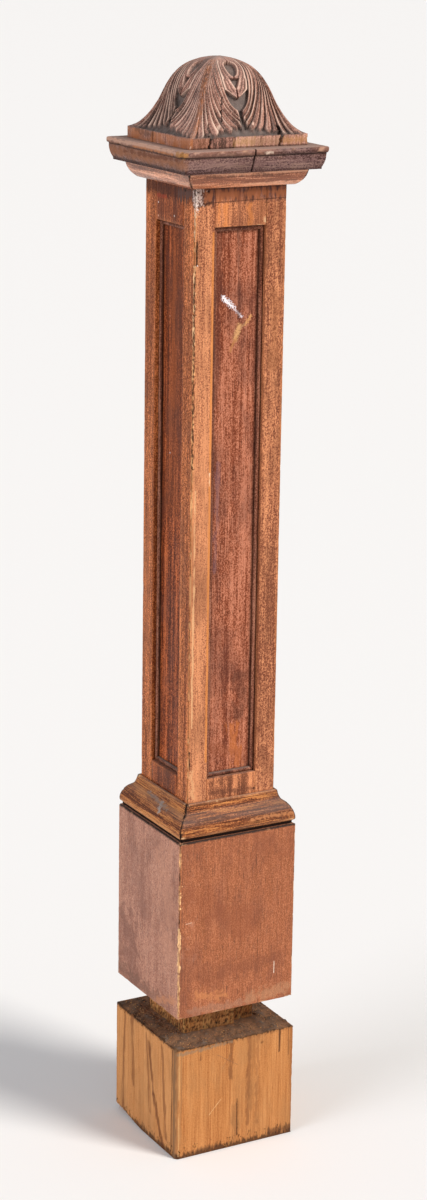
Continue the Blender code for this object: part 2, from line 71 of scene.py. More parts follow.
def add_node(tree, kind: str, inputs: dict | None = None, stops: Sequence = (), **settings):
    """Adds a node with its settings and links.

    Args:
        tree: The node tree that gets it.
        kind: The node's type.
        inputs: For each socket's name or number, a value or the output that feeds it.
        stops: Places and colours of a ramp's stops.
        settings: The node's own properties.

    Returns:
        The new node.
    """
    node = tree.nodes.new(kind)
    for key, value in settings.items():
        setattr(node, key, value)
    if stops:
        elements = node.color_ramp.elements
        while len(elements) < len(stops):
            elements.new(1.0)
        for element, (place, colour) in zip(elements, stops):
            element.position, element.color = place, colour
    for key, value in (inputs or {}).items():
        if isinstance(value, bpy.types.NodeSocket):
            tree.links.new(value, node.inputs[key])
        else:
            node.inputs[key].default_value = value
    return node


class Grain(Enum):
    """The direction that a piece's fibres run in."""

    ALONG_X = 0
    ALONG_Y = 1
    UPRIGHT = 2


@dataclass(frozen=True)
class Mark:
    """A stain, smear, scuff or streak that lies along a line on one face.

    Its places are in millimetres, in the post's own frame.
    """

    start: tuple[float, float, float]
    end: tuple[float, float, float]
    width: float
    colour: str
    strength: float = 0.8
    ragged: float = 0.6  # share of the width that its edge wanders
    ragged_mm: float = 4.0  # size of the wandering
    stretch: float = 1.0  # how much longer the wandering is upright
    roughness: float = 0.6


@dataclass(frozen=True)
class WoodFinish:
    """Planed or carved wood under a stain and a worn varnish, or bare.

    Long fibres give fine streaks along the grain and the stain takes in broad bands and patches.
    Yearly rings are dark lines that turn into arches where a face is sawn flat, and the old
    varnish is speckled where it has crazed. Open pores show as short dark dashes.
    """

    name: str
    dark: str
    middle: str
    light: str
    bright: str
    smoke: str = "#5d4038"  # the tone of patches where the varnish has darkened
    grain: Grain = Grain.UPRIGHT
    streak_mm: float = 1.3
    streak_length_mm: float = 40.0
    streaks: float = 0.45
    band_mm: float = 9.0
    band_length_mm: float = 260.0
    bands: float = 0.6
    mottle_mm: float = 1.5  # coarser than the real crazing, so that it shows
    mottle: float = 1.0
    ring_mm: float = 6.0
    rings: float = 0.25
    tree_axis_mm: tuple[float, float] = (120.0, 60.0)  # from the post's axis, across the grain
    tree_lean: float = 0.05
    pores: float = 0.45
    patches: float = 0.45
    roughness: float = 0.42
    specular: float = 0.1
    coat: float = 0.02
    coat_roughness: float = 0.28
    relief_mm: float = 0.1
    rubbed: str = "#cf8550"  # arrises where the stain is rubbed thin
    bare: str = "#e6bd90"  # wood that shows where an arris is chipped, and on the carving the colour of its painted highlights
    grime_and_shade: str = "#2b1b15"
    dust_and_sheen: str = "#8a7c74"
    dust_up: float = 0.3  # dust on faces that look up
    marks: tuple[Mark, ...] = ()

    def material(self) -> bpy.types.Material:
        """Builds the node material.

        Returns:
            The material. It reads Object coordinates and the attributes piece, tone, rub, wear,
            grime and dust.
        """
        material = bpy.data.materials.new(self.name)
        material.use_nodes = True
        tree = material.node_tree
        shader = tree.nodes["Principled BSDF"]
        place = add_node(tree, "ShaderNodeTexCoord").outputs["Object"]
        stored = {
            name: add_node(tree, "ShaderNodeAttribute", attribute_name=name).outputs["Fac"]
            for name in ("piece", "tone", "rub", "wear_and_highlight", "grime_and_shade", "dust_and_sheen")
        }
        shifted = add_node(
            tree,
            "ShaderNodeVectorMath",
            {0: stored["piece"], 1: (3.1, 2.3, 5.7), 2: place},
            operation="MULTIPLY_ADD",
        ).outputs[0]
        streaks = self._fibres(tree, shifted, self.streak_mm, self.streak_length_mm, 4.0)
        bands = self._fibres(tree, shifted, self.band_mm, self.band_length_mm, 3.0)
        mottle = self._fibres(tree, shifted, self.mottle_mm, self.mottle_mm * 1.3, 1.5)
        pores = self._fibres(tree, shifted, 1.1, 16.0, 1.0)
        patches = self._fibres(tree, shifted, 38.0, 90.0, 4.0)
        value = add_node(
            tree, "ShaderNodeMath", {0: stored["tone"], 1: 0.14, 2: 0.5}, operation="MULTIPLY_ADD"
        ).outputs[0]
        for pattern, share in ((streaks, self.streaks), (bands, self.bands), (mottle, self.mottle)):
            centred = add_node(tree, "ShaderNodeMath", {0: pattern, 1: 0.5}, operation="SUBTRACT").outputs[0]
            value = add_node(
                tree, "ShaderNodeMath", {0: centred, 1: share * 1.7, 2: value}, operation="MULTIPLY_ADD"
            ).outputs[0]
        colour = add_node(
            tree,
            "ShaderNodeValToRGB",
            {"Fac": value},
            stops=(
                (0.3, linear(self.dark)),
                (0.46, linear(self.middle)),
                (0.58, linear(self.light)),
                (0.76, linear(self.bright)),
            ),
        ).outputs[0]
        smoky = add_node(
            tree,
            "ShaderNodeMapRange",
            {"Value": patches, "From Min": 0.47, "From Max": 0.66, "To Max": self.patches},
        ).outputs[0]
        colour = self._laid_on(tree, smoky, colour, self.smoke)
        colour = self._laid_on(tree, self._ring_lines(tree, shifted, bands), colour, self.dark)
        pore = add_node(
            tree,
            "ShaderNodeMapRange",
            {"Value": pores, "From Min": 0.6, "From Max": 0.7, "To Max": self.pores},
        ).outputs[0]
        colour = self._laid_on(tree, pore, colour, self.grime_and_shade)
        rough = add_node(
            tree,
            "ShaderNodeMapRange",
            {
                "Value": mottle,
                "From Min": 0.3,
                "From Max": 0.7,
                "To Min": self.roughness + 0.1,
                "To Max": self.roughness - 0.08,
            },
        ).outputs[0]
        up = add_node(
            tree, "ShaderNodeSeparateXYZ", {0: add_node(tree, "ShaderNodeNewGeometry").outputs["Normal"]}
        ).outputs["Z"]
        settled = add_node(
            tree,
            "ShaderNodeMapRange",
            {"Value": up, "From Min": 0.35, "From Max": 0.95, "To Max": self.dust_up},
        ).outputs[0]
        # Settled dust on faces that look up, and the stored dust, which on the dome's crown is partly a painted sheen.
        dust_and_sheen_mask = add_node(tree, "ShaderNodeMath", {0: settled, 1: stored["dust_and_sheen"]}, operation="MAXIMUM").outputs[0]
        layers = (
            (stored["rub"], self.rubbed, self.roughness),
            (stored["wear_and_highlight"], self.bare, 0.8),
            (stored["grime_and_shade"], self.grime_and_shade, 0.7),
            (dust_and_sheen_mask, self.dust_and_sheen, 0.85),
        )
        for factor, tint, roughness in layers:
            colour = self._laid_on(tree, factor, colour, tint)
            rough = add_node(tree, "ShaderNodeMix", {0: factor, 2: rough, 3: roughness}).outputs[0]
        for mark in self.marks:
            mask = self._mark_mask(tree, place, mark)
            colour = self._laid_on(tree, mask, colour, mark.colour)
            rough = add_node(tree, "ShaderNodeMix", {0: mask, 2: rough, 3: mark.roughness}).outputs[0]
        height = add_node(
            tree, "ShaderNodeMath", {0: pore, 1: -2.0, 2: streaks}, operation="MULTIPLY_ADD"
        ).outputs[0]
        height = add_node(tree, "ShaderNodeMath", {0: height, 1: mottle}, operation="ADD").outputs[0]
        bump = add_node(
            tree,
            "ShaderNodeBump",
            {"Height": height, "Strength": 0.7, "Distance": self.relief_mm * MM},
        ).outputs[0]
        tree.links.new(colour, shader.inputs["Base Color"])
        tree.links.new(rough, shader.inputs["Roughness"])
        tree.links.new(bump, shader.inputs["Normal"])
        shader.inputs["IOR"].default_value = 1.5
        shader.inputs["Specular IOR Level"].default_value = self.specular
        shader.inputs["Coat Weight"].default_value = self.coat
        shader.inputs["Coat Roughness"].default_value = self.coat_roughness
        material.diffuse_color = linear(self.middle)
        return material

    def _fibres(self, tree, place, across_mm: float, along_mm: float, detail: float):
        """Noise drawn out along the grain, with lumps of these real sizes."""
        scale = [1000 / across_mm] * 3
        scale[self.grain.value] = 1000 / along_mm
        drawn = add_node(tree, "ShaderNodeMapping", {"Vector": place, "Scale": scale}).outputs[0]
        return add_node(
            tree, "ShaderNodeTexNoise", {"Vector": drawn, "Scale": 1.0, "Detail": detail, "Roughness": 0.62}
        ).outputs["Fac"]

    def _laid_on(self, tree, factor, under, tint: str):
        """The tint laid on the colour under it by the factor."""
        mix = add_node(tree, "ShaderNodeMix", {0: factor, 6: under, 7: linear(tint)}, data_type="RGBA")
        return mix.outputs[2]

    def _ring_lines(self, tree, place, wander):
        """Dark lines at the end of each year's growth, round an axis that leans a little."""
        across = [k for k in range(3) if k != self.grain.value]
        offset, scale, turn = [0.0] * 3, [1.0] * 3, [0.0] * 3
        offset[across[0]], offset[across[1]] = (-d * MM for d in self.tree_axis_mm)
        turn[across[1]] = self.tree_lean
        scale[self.grain.value] = 0.0
        centred = add_node(
            tree, "ShaderNodeMapping", {"Vector": place, "Location": offset, "Rotation": turn}
        ).outputs[0]
        flat = add_node(tree, "ShaderNodeVectorMath", {0: centred, 1: scale}, operation="MULTIPLY").outputs[0]
        radius = add_node(tree, "ShaderNodeVectorMath", {0: flat}, operation="LENGTH").outputs[1]
        rings = add_node(
            tree, "ShaderNodeMath", {0: radius, 1: 1000 / self.ring_mm}, operation="MULTIPLY"
        ).outputs[0]
        rings = add_node(tree, "ShaderNodeMath", {0: wander, 1: 2.5, 2: rings}, operation="MULTIPLY_ADD").outputs[0]
        year = add_node(tree, "ShaderNodeMath", {0: rings}, operation="FRACT").outputs[0]
        late = add_node(tree, "ShaderNodeMath", {0: year, 1: 4.0}, operation="POWER").outputs[0]
        return add_node(tree, "ShaderNodeMath", {0: late, 1: self.rings}, operation="MULTIPLY").outputs[0]

    def _mark_mask(self, tree, place, mark: Mark):
        """How much of a mark covers a place, from its distance to the mark's line."""
        start, end = (Vector(p) * MM for p in (mark.start, mark.end))
        run = end - start
        length = max(run.length, 1e-5)
        unit = run / length if run.length else Vector((0, 0, 1))
        scale = [1000 / mark.ragged_mm, 1000 / mark.ragged_mm, 1000 / mark.ragged_mm / mark.stretch]
        drawn = add_node(tree, "ShaderNodeMapping", {"Vector": place, "Scale": scale}).outputs[0]
        wander = add_node(
            tree, "ShaderNodeTexNoise", {"Vector": drawn, "Scale": 1.0, "Detail": 3.0}
        ).outputs["Fac"]
        from_start = add_node(
            tree, "ShaderNodeVectorMath", {0: place, 1: start}, operation="SUBTRACT"
        ).outputs[0]
        way = add_node(
            tree, "ShaderNodeVectorMath", {0: from_start, 1: unit}, operation="DOT_PRODUCT"
        ).outputs[1]
        way = add_node(tree, "ShaderNodeClamp", {0: way, 1: 0.0, 2: length}).outputs[0]
        foot = add_node(tree, "ShaderNodeVectorMath", {0: unit, 3: way}, operation="SCALE").outputs[0]
        away = add_node(tree, "ShaderNodeVectorMath", {0: from_start, 1: foot}, operation="DISTANCE").outputs[1]
        half = mark.width * MM / 2
        wandered = add_node(
            tree, "ShaderNodeMath", {0: wander, 1: -4 * mark.ragged * half, 2: away}, operation="MULTIPLY_ADD"
        ).outputs[0]
        edge = half * (1 - 2 * mark.ragged)
        return add_node(
            tree,
            "ShaderNodeMapRange",
            {"Value": wandered, "From Min": edge, "From Max": edge - half * 0.7, "To Max": mark.strength},
        ).outputs[0]


# Meshes


def ramp(value, start: float, end: float):
    """0 before start, 1 after end, and smooth between them. It takes numbers and arrays."""
    share = np.clip((value - start) / (end - start), 0.0, 1.0)
    return share * share * (3 - 2 * share)


def bezier(handles, shares) -> np.ndarray:
    """Points of a Bezier curve of any degree.

    Args:
        handles: The curve's handles.
        shares: Where on the curve the points lie, from 0 to 1.

    Returns:
        One row for each point.
    """
    shares = np.asarray(shares, float)[:, None]
    level = [np.asarray(handle, float)[None, :] + 0 * shares for handle in handles]
    while len(level) > 1:
        level = [a + (b - a) * shares for a, b in zip(level, level[1:])]
    return level[0]


def roughness_at(places: np.ndarray, size_mm: float, stretch: Sequence[float] = (1, 1, 1), seed: float = 0.0) -> np.ndarray:
    """Smooth noise from about -1 to 1 at each place.

    Args:
        places: Points in metres, one in each row.
        size_mm: The size of the noise's lumps.
        stretch: How much longer the lumps are along each axis.
        seed: Another seed gives other noise.

    Returns:
        One value for each place.
    """
    scaled = places * (1000 / size_mm) / np.asarray(stretch, float) + seed * 17.3
    return np.array([noise.noise(Vector(p)) for p in scaled])


def vertex_array(mesh: bpy.types.Mesh) -> np.ndarray:
    """The mesh's vertices, one in each row."""
    places = np.empty(len(mesh.vertices) * 3)
    mesh.vertices.foreach_get("co", places)
    return places.reshape(-1, 3)


def signed_volume(mesh: bpy.types.Mesh) -> float:
    """The mesh's volume, below zero where its faces point inwards."""
    bm = bmesh.new()
    bm.from_mesh(mesh)
    volume = bm.calc_volume(signed=True)
    bm.free()
    return volume


def distance_to(places: np.ndarray, lines: Sequence) -> np.ndarray:
    """How far each place is from the nearest of some lines.

    Args:
        places: Points, one in each row.
        lines: The two ends of each line.

    Returns:
        One distance for each place.
    """
    nearest = np.full(len(places), 1.0)
    for start, end in np.array(lines).reshape(-1, 2, 3):
        run = end - start
        share = np.clip((places - start) @ run / max(run @ run, 1e-12), 0, 1)
        nearest = np.minimum(nearest, np.linalg.norm(places - start - share[:, None] * run, axis=1))
    return nearest


def paint(mesh: bpy.types.Mesh, name: str, values) -> None:
    """Stores one number for each vertex, which the finishes read by this name."""
    stored = mesh.attributes.get(name) or mesh.attributes.new(name, "FLOAT", "POINT")
    stored.data.foreach_set("value", np.broadcast_to(values, len(mesh.vertices)).astype(np.float32))


def painted(mesh: bpy.types.Mesh, name: str) -> np.ndarray:
    """The numbers that paint stored by this name."""
    values = np.empty(len(mesh.vertices), np.float32)
    mesh.attributes[name].data.foreach_get("value", values)
    return values


def shade(mesh: bpy.types.Mesh, degrees: float = 35.0) -> None:
    """Smooth shading with edges kept sharp above an angle."""
    mesh.polygons.foreach_set("use_smooth", [True] * len(mesh.polygons))
    mesh.set_sharp_from_angle(angle=math.radians(degrees))


def loft(name: str, rings: np.ndarray, close_ends: bool = True) -> bpy.types.Mesh:
    """A closed skin over rings of points.

    Args:
        name: The mesh's name.
        rings: Points in metres, as rings by points by three.
        close_ends: Whether the first and last ring are closed with a fan.

    Returns:
        The mesh, with its faces pointing outwards.
    """
    count, around = rings.shape[:2]
    places = rings.reshape(-1, 3)
    row = np.arange(around)
    after = (row + 1) % around
    quads = np.concatenate(
        [np.stack([k * around + row, k * around + after, (k + 1) * around + after, (k + 1) * around + row], 1) for k in range(count - 1)]
    )
    faces = quads.tolist()
    if close_ends:
        ends = np.array([rings[0].mean(0), rings[-1].mean(0)])
        places = np.concatenate([places, ends])
        first, last = count * around, count * around + 1
        top = (count - 1) * around
        faces += [[int(b), int(a), first] for a, b in zip(row, after)]
        faces += [[int(top + a), int(top + b), last] for a, b in zip(row, after)]
    mesh = bpy.data.meshes.new(name)
    mesh.from_pydata(places.tolist(), [], faces)
    if signed_volume(mesh) < 0:
        mesh.flip_normals()
    return mesh


def stand_for(name: str, mesh: bpy.types.Mesh, material: bpy.types.Material, nodes: Iterable[str] = ()) -> bpy.types.Object:
    """Puts a finished mesh in the scene as a piece of the post.

    Args:
        name: The piece's name.
        mesh: Its mesh, in the post's own frame.
        material: Its finish.
        nodes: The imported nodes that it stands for.

    Returns:
        The piece.
    """
    obj = bpy.data.objects.new(name, mesh)
    mesh.materials.clear()
    mesh.materials.append(material)
    bpy.context.scene.collection.objects.link(obj)
    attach(obj, "root")
    nodes = list(nodes)
    if nodes:
        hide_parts(*nodes)
    log.info("%s: %d faces", name, len(mesh.polygons))
    return obj


def piece_number(name: str) -> float:
    """A number from 0 to 1 that stays the same for one name."""
    return sum((k + 1) * ord(letter) for k, letter in enumerate(name)) * 0.6180339 % 1.0


@dataclass
class WornStrip:
    """A packed length of planed timber with its arrises rubbed, chipped and dented.

    Sizes are in millimetres.
    """

    node: str
    axis: Grain
    arris: float = 0.7
    step: float = 5.0
    breadth: float = 8.0  # between the cuts along a wide face
    insets: tuple[float, ...] = (1.6, 4.0)
    dent: float = 0.25
    chip: float = 1.3
    chip_size: float = 8.0
    chip_level: float = 0.3  # lower chips more of the arris
    sheltered: float = 0.35  # how much less an arris beside a joint is worn
    rubbed: float = 0.6
    tone: float = 0.0
    seed: float = 1.0

    def mesh(self) -> bpy.types.Mesh:
        """Builds the worn mesh from the node's own.

        Returns:
            A closed mesh with the attributes piece, tone, rub, wear and grime.
        """
        bm = bmesh.new()
        bm.from_mesh(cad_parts[self.node].data)
        bmesh.ops.remove_doubles(bm, verts=bm.verts, dist=1e-5)
        bmesh.ops.dissolve_limit(bm, angle_limit=math.radians(1), verts=bm.verts, edges=bm.edges)
        bends = {e: math.degrees(e.calc_face_angle_signed(0)) for e in bm.edges if len(e.link_faces) == 2}
        sharp = [e for e, bend in bends.items() if bend > 40]
        outer = [[v.co[:] for v in e.verts] for e in sharp]
        inner = [[v.co[:] for v in e.verts] for e, bend in bends.items() if bend < -25]
        bmesh.ops.bevel(
            bm, geom=sharp, offset=self.arris * MM, segments=2, profile=0.5, affect="EDGES", clamp_overlap=True
        )
        self._slice(bm)
        bm.normal_update()
        normals = np.array([v.normal for v in bm.verts])
        mesh = bpy.data.meshes.new(self.node)
        bm.to_mesh(mesh)
        bm.free()
        places = vertex_array(mesh)
        away = distance_to(places, outer)
        edge = 1 - ramp(away, self.arris * MM * 0.9, self.arris * MM * 1.9)
        # Darker along the inside corners.
        hollow = 1 - ramp(distance_to(places, inner), 0.0, 0.0028)
        stretch = [1.0, 1.0, 1.0]
        stretch[self.axis.value] = 3.0
        lumps = roughness_at(places, self.chip_size, stretch, self.seed)
        fine = roughness_at(places, self.chip_size / 3, stretch, self.seed + 2)
        worn = roughness_at(places, 45, (1, 1, 1), self.seed + 4)
        outermost = ramp(np.abs(places[:, :2]).min(1) / np.abs(places[:, :2]).max(1), 0.86, 0.96)
        level = self.chip_level + self.sheltered * (1 - outermost)
        chips = ramp(lumps + 0.35 * fine, level, level + 0.25) * edge
        depth = (self.chip * chips + self.dent * edge * (0.5 + 0.5 * fine)) * MM
        mesh.vertices.foreach_set("co", (places - normals * depth[:, None]).ravel())
        paint(mesh, "piece", piece_number(self.node))
        paint(mesh, "tone", self.tone)
        near = (1 - ramp(away, 0.0004, 0.0042)) * np.clip(0.6 + worn + 0.5 * fine, 0.1, 1)
        paint(mesh, "rub", near * self.rubbed * (1 - 0.8 * min(1.0, self.sheltered) * (1 - outermost)))
        paint(mesh, "wear_and_highlight", np.clip(chips * 1.2 + edge * outermost * 0.5 * ramp(fine, 0.0, 0.35), 0, 0.95))
        paint(mesh, "grime_and_shade", hollow * np.clip(0.6 + worn, 0.2, 0.85))
        shade(mesh, 40)
        return mesh

    def _slice(self, bm: bmesh.types.BMesh) -> None:
        """Cuts the mesh along its length and beside its arrises, so that chips and rubbing have room to show."""
        low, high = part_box(self.node)
        for axis in range(3):
            if axis == self.axis.value:
                count = max(2, round((high[axis] - low[axis]) / (self.step * MM)))
                cuts = list(np.linspace(low[axis], high[axis], count + 1)[1:-1])
            else:
                cuts = [low[axis] + i * MM for i in self.insets] + [high[axis] - i * MM for i in self.insets]
                if high[axis] - low[axis] < 2.2 * max(self.insets) * MM:
                    continue
                between = max(self.insets) * MM
                count = max(1, round((high[axis] - low[axis] - 2 * between) / (self.breadth * MM)))
                cuts += list(np.linspace(low[axis] + between, high[axis] - between, count + 1)[1:-1])
            normal = [0.0, 0.0, 0.0]
            normal[axis] = 1.0
            for cut in cuts:
                place = [0.0, 0.0, 0.0]
                place[axis] = cut
                bmesh.ops.bisect_plane(
                    bm, geom=bm.verts[:] + bm.edges[:] + bm.faces[:], plane_co=place, plane_no=normal, dist=1e-6
                )


class Bit(Enum):
    """What is strewn over a surface."""

    CRUMB = "GeometryNodeMeshIcoSphere"
    SPLINTER = "GeometryNodeMeshCone"


@dataclass(frozen=True)
class Strewn:
    """Small bits that cling to part of a surface, laid by Geometry Nodes.

    Lengths are in millimetres and turns in radians.
    """

    name: str
    bit: Bit
    per_square_metre: float
    smallest: float
    largest: float
    stretch: tuple[float, float, float]
    turn_low: tuple[float, float, float]
    turn_high: tuple[float, float, float]
    seed: int

    def mesh(self, ground: bpy.types.Mesh, material: bpy.types.Material) -> bpy.types.Mesh:
        """Strews the bits over a surface.

        Args:
            ground: The surface that they cling to.
            material: Their finish.

        Returns:
            One plain mesh of all the bits.
        """
        tree = bpy.data.node_groups.new(self.name, "GeometryNodeTree")
        face = tree.interface
        face.new_socket("Geometry", in_out="OUTPUT", socket_type="NodeSocketGeometry")
        face.new_socket("Geometry", in_out="INPUT", socket_type="NodeSocketGeometry")
        sizes = {
            "Density": ("NodeSocketFloat", self.per_square_metre),
            "Smallest": ("NodeSocketFloat", self.smallest * MM),
            "Largest": ("NodeSocketFloat", self.largest * MM),
            "Stretch": ("NodeSocketVector", self.stretch),
            "Turn low": ("NodeSocketVector", self.turn_low),
            "Turn high": ("NodeSocketVector", self.turn_high),
            "Seed": ("NodeSocketInt", self.seed),
        }
        sockets = {n: face.new_socket(n, in_out="INPUT", socket_type=kind) for n, (kind, _) in sizes.items()}
        given = add_node(tree, "NodeGroupInput").outputs
        spread = add_node(
            tree,
            "GeometryNodeDistributePointsOnFaces",
            {"Mesh": given["Geometry"], "Density": given["Density"], "Seed": given["Seed"]},
        )
        if self.bit is Bit.CRUMB:
            shape = add_node(tree, self.bit.value, {"Radius": 0.5, "Subdivisions": 1})
        else:
            shape = add_node(
                tree, self.bit.value, {"Vertices": 5, "Radius Bottom": 0.5, "Radius Top": 0.06, "Depth": 1.0}
            )
        drawn = add_node(tree, "GeometryNodeTransform", {0: shape.outputs["Mesh"], "Scale": given["Stretch"]})
        size = add_node(
            tree, "FunctionNodeRandomValue", {2: given["Smallest"], 3: given["Largest"], "Seed": given["Seed"]}
        )
        turn = add_node(
            tree,
            "FunctionNodeRandomValue",
            {0: given["Turn low"], 1: given["Turn high"], "Seed": given["Seed"]},
            data_type="FLOAT_VECTOR",
        )
        turned = add_node(tree, "FunctionNodeEulerToRotation", {0: turn.outputs[0]})
        laid = add_node(
            tree,
            "GeometryNodeInstanceOnPoints",
            {
                "Points": spread.outputs["Points"],
                "Instance": drawn.outputs[0],
                "Rotation": turned.outputs[0],
                "Scale": size.outputs[1],
            },
        )
        real = add_node(tree, "GeometryNodeRealizeInstances", {0: laid.outputs[0]})
        dressed = add_node(tree, "GeometryNodeSetMaterial", {0: real.outputs[0], "Material": material})
        add_node(tree, "NodeGroupOutput", {0: dressed.outputs[0]})
        carrier = bpy.data.objects.new(self.name, ground)
        bpy.context.scene.collection.objects.link(carrier)
        modifier = carrier.modifiers.new("Strewn", "NODES")
        modifier.node_group = tree
        for name, (_, value) in sizes.items():
            modifier[sockets[name].identifier] = value
        evaluated = carrier.evaluated_get(bpy.context.evaluated_depsgraph_get())
        mesh = bpy.data.meshes.new_from_object(evaluated)
        carrier.modifiers.remove(modifier)
        bpy.data.objects.remove(carrier)
        mesh.name = self.name
        return mesh


def patch(mesh: bpy.types.Mesh, keep: np.ndarray) -> bpy.types.Mesh:
    """Copies the faces whose corners are all kept, as ground for strewn bits.

    Args:
        mesh: The whole surface.
        keep: For each vertex, whether it is part of the patch.

    Returns:
        The patch.
    """
    faces = [list(f.vertices) for f in mesh.polygons if all(keep[v] for v in f.vertices)]
    ground = bpy.data.meshes.new("ground")
    ground.from_pydata(vertex_array(mesh).tolist(), [], faces)
    return ground


# Finishes

INK = "#1d120e"
SOOT = "#3a231b"
FLECK = "#efe4dc"

# The band under the bed mould, darkened by an old upper coat that was brushed on upright.
TOP_BAND = (
    Mark((-66.4, -66.4, 1312), (66.4, -66.4, 1312), 28, "#7d5850", 0.8, 0.25, 2.5, 7.0),
    Mark((-66.4, -66.4, 1311), (66.4, -66.4, 1311), 22, "#3f2624", 0.8, 1.1, 4.5, 5.0),
    Mark((-66.4, -66.4, 1310), (66.4, -66.4, 1310), 18, "#b0683f", 0.6, 1.2, 5.5, 4.0),
    Mark((-66.4, -66.4, 1318), (66.4, -66.4, 1318), 5, INK, 0.55, 0.4, 3.0),
    Mark((-66.0, -66.4, 1297), (-44, -66.4, 1300), 7, "#2a1813", 0.8, 0.7, 3.0),
    Mark((-44, -66.4, 1300), (66.4, -66.4, 1302), 2.2, "#4c2b20", 0.7, 0.6, 3.0),
    Mark((-66.4, -66.4, 1310), (-66.4, 66.4, 1310), 32, "#452319", 0.85, 0.45, 3.5, 5.0),
    Mark((-66.4, -66.4, 1311), (-66.4, -30, 1311), 22, "#5b4540", 0.7, 1.1, 3.5, 5.0),
    Mark((-47.2, -66.4, 1314.4), (-47.2, -66.4, 1314.4), 4.5, INK, 1.0, 0.1),
    Mark((-66.4, -40.9, 1313.7), (-66.4, -40.9, 1313.7), 4.5, INK, 1.0, 0.1),
)
STILE_OAK = WoodFinish(
    "Stained oak, upright grain",
    dark="#77422e",
    middle="#a96949",
    light="#c07b55",
    bright="#dc9467",
    smoke="#74452f",
    bare="#dba878",
    streaks=0.55,
    bands=0.6,
    mottle=0.9,
    patches=0.5,
    marks=TOP_BAND
    + (
        Mark((-39.4, -66.4, 1262), (-39.4, -66.4, 560), 4.6, "#d98743", 0.7, 0.35, 3.0, 8.0),
        Mark((-63, -65.4, 1251), (-63, -65.4, 1223), 4.6, INK, 1.0, 0.3, 2.0, 3.0),
        Mark((-61.7, -66.4, 1221.9), (-61.7, -66.4, 1221.9), 2.6, FLECK, 0.95, 0.2),
        Mark((-58, -66.4, 1314), (-58, -66.4, 1302), 16, "#4a2e27", 0.6, 1.2, 3.5, 1.5),
        Mark((-65, -66.4, 1317), (-64.5, -66.4, 1290), 4.0, "#ead6ca", 0.9, 1.8, 2.2, 1.5),
        Mark((-59, -66.4, 1315), (-60, -66.4, 1300), 8.0, "#cbb0a4", 0.8, 2.2, 2.2, 1.4),
        Mark((-66.4, -62, 1314), (-66.4, -64, 1296), 4.0, "#d8c0b4", 0.8, 1.8, 2.2, 1.4),
        Mark((-66.2, -66.2, 1290), (-66.0, -66.2, 1254), 3.4, "#ecc9a4", 0.9, 1.0, 3.0, 2.0),
        Mark((-66.2, -66.2, 1221), (-66.2, -66.2, 1120), 3.4, "#f6c795", 0.95, 1.5, 3.0, 2.5),
        Mark((-66.2, -66.2, 1120), (-66.2, -66.2, 900), 3.2, "#f0b57c", 0.9, 1.5, 3.5, 3.0),
        Mark((-65.4, -66.4, 1215), (-65.4, -66.4, 960), 3.0, "#44241a", 0.85, 1.7, 3.0, 2.0),
        Mark((-60.5, -66.4, 930), (-61.5, -66.4, 610), 3.2, "#e6b483", 0.65, 0.9, 4.0, 6.0),
        Mark((-64.4, -66.4, 576), (-63.4, -66.4, 552), 2.4, INK, 0.9, 0.8, 2.5, 3.0),
        Mark((-61, -66.4, 548), (-58, -66.4, 512), 7.0, "#e0a878", 0.6, 0.95, 3.0, 3.0),
        Mark((-40, -66.4, 952), (-40, -66.4, 936), 2.2, "#f0cfa8", 0.8, 0.8, 2.5, 2.0),
        Mark((52, -66.4, 1180), (52, -66.4, 1090), 22, "#8f5836", 0.4, 0.8, 16, 3.0),
        Mark((50, -66.4, 840), (54, -66.4, 720), 20, "#7a4a33", 0.4, 0.9, 14, 3.0),
        Mark((45, -66.4, 560), (60, -66.4, 520), 26, "#6f3f2b", 0.4, 0.9, 14, 1.5),
        Mark((-66.4, 52, 900), (-66.4, 54, 700), 12, "#6b3f30", 0.4, 0.9, 10, 5.0),
    ),
)
RAIL_OAK = WoodFinish(
    "Stained oak rail",
    dark="#76462f",
    middle="#9e6042",
    light="#c27a53",
    bright="#e49666",
    smoke="#6a4130",
    band_mm=6.0,
    band_length_mm=90.0,
    streaks=0.6,
    bands=0.9,
    mottle=0.8,
    marks=TOP_BAND
    + (
        Mark((-21.9, -66.4, 1296), (-21.9, -66.4, 1272), 10, "#dd8748", 0.55, 1.0, 3.0, 4.0),
        Mark((-32, -66.4, 1296), (-32, -66.4, 1276), 5, "#dd8748", 0.5, 0.9, 3.0, 4.0),
        Mark((12.9, -66.4, 1294), (12.9, -66.4, 1274), 11, "#dd8748", 0.5, 1.0, 3.0, 4.0),
        Mark((-3, -66.4, 1318), (-3, -66.4, 1270), 8, "#6f4030", 0.6, 0.6, 3.0, 6.0),
        Mark((30, -66.4, 1300), (30, -66.4, 1272), 8, "#8f5638", 0.5, 0.7, 3.0, 5.0),
        Mark((-66.4, 10, 1300), (-66.4, 34, 1300), 7, "#a03a22", 0.5, 0.6, 4.0),
        Mark((-66.4, -36, 1286), (-66.4, 36, 1286), 26, "#6e3722", 0.5, 0.5, 6.0, 3.0),
        Mark((-66.4, 31.2, 1290.8), (-66.4, 31.2, 1290.8), 3.2, FLECK, 0.95, 0.2),
        Mark((-66.4, 30.9, 1273.6), (-66.4, 30.9, 1273.6), 3.0, "#dcb8a0", 0.9, 0.3),
        Mark((-66.4, -11.9, 1278.5), (-66.4, -11.9, 1278.5), 3.4, "#e8d2c4", 0.9, 0.3),
        Mark((35, -66.4, 510.9), (35, -66.4, 510.9), 4.0, INK, 1.0, 0.1),
        Mark((-30, -66.4, 516), (34, -66.4, 510), 12, "#593326", 0.55, 0.8, 8.0),
    ),
)
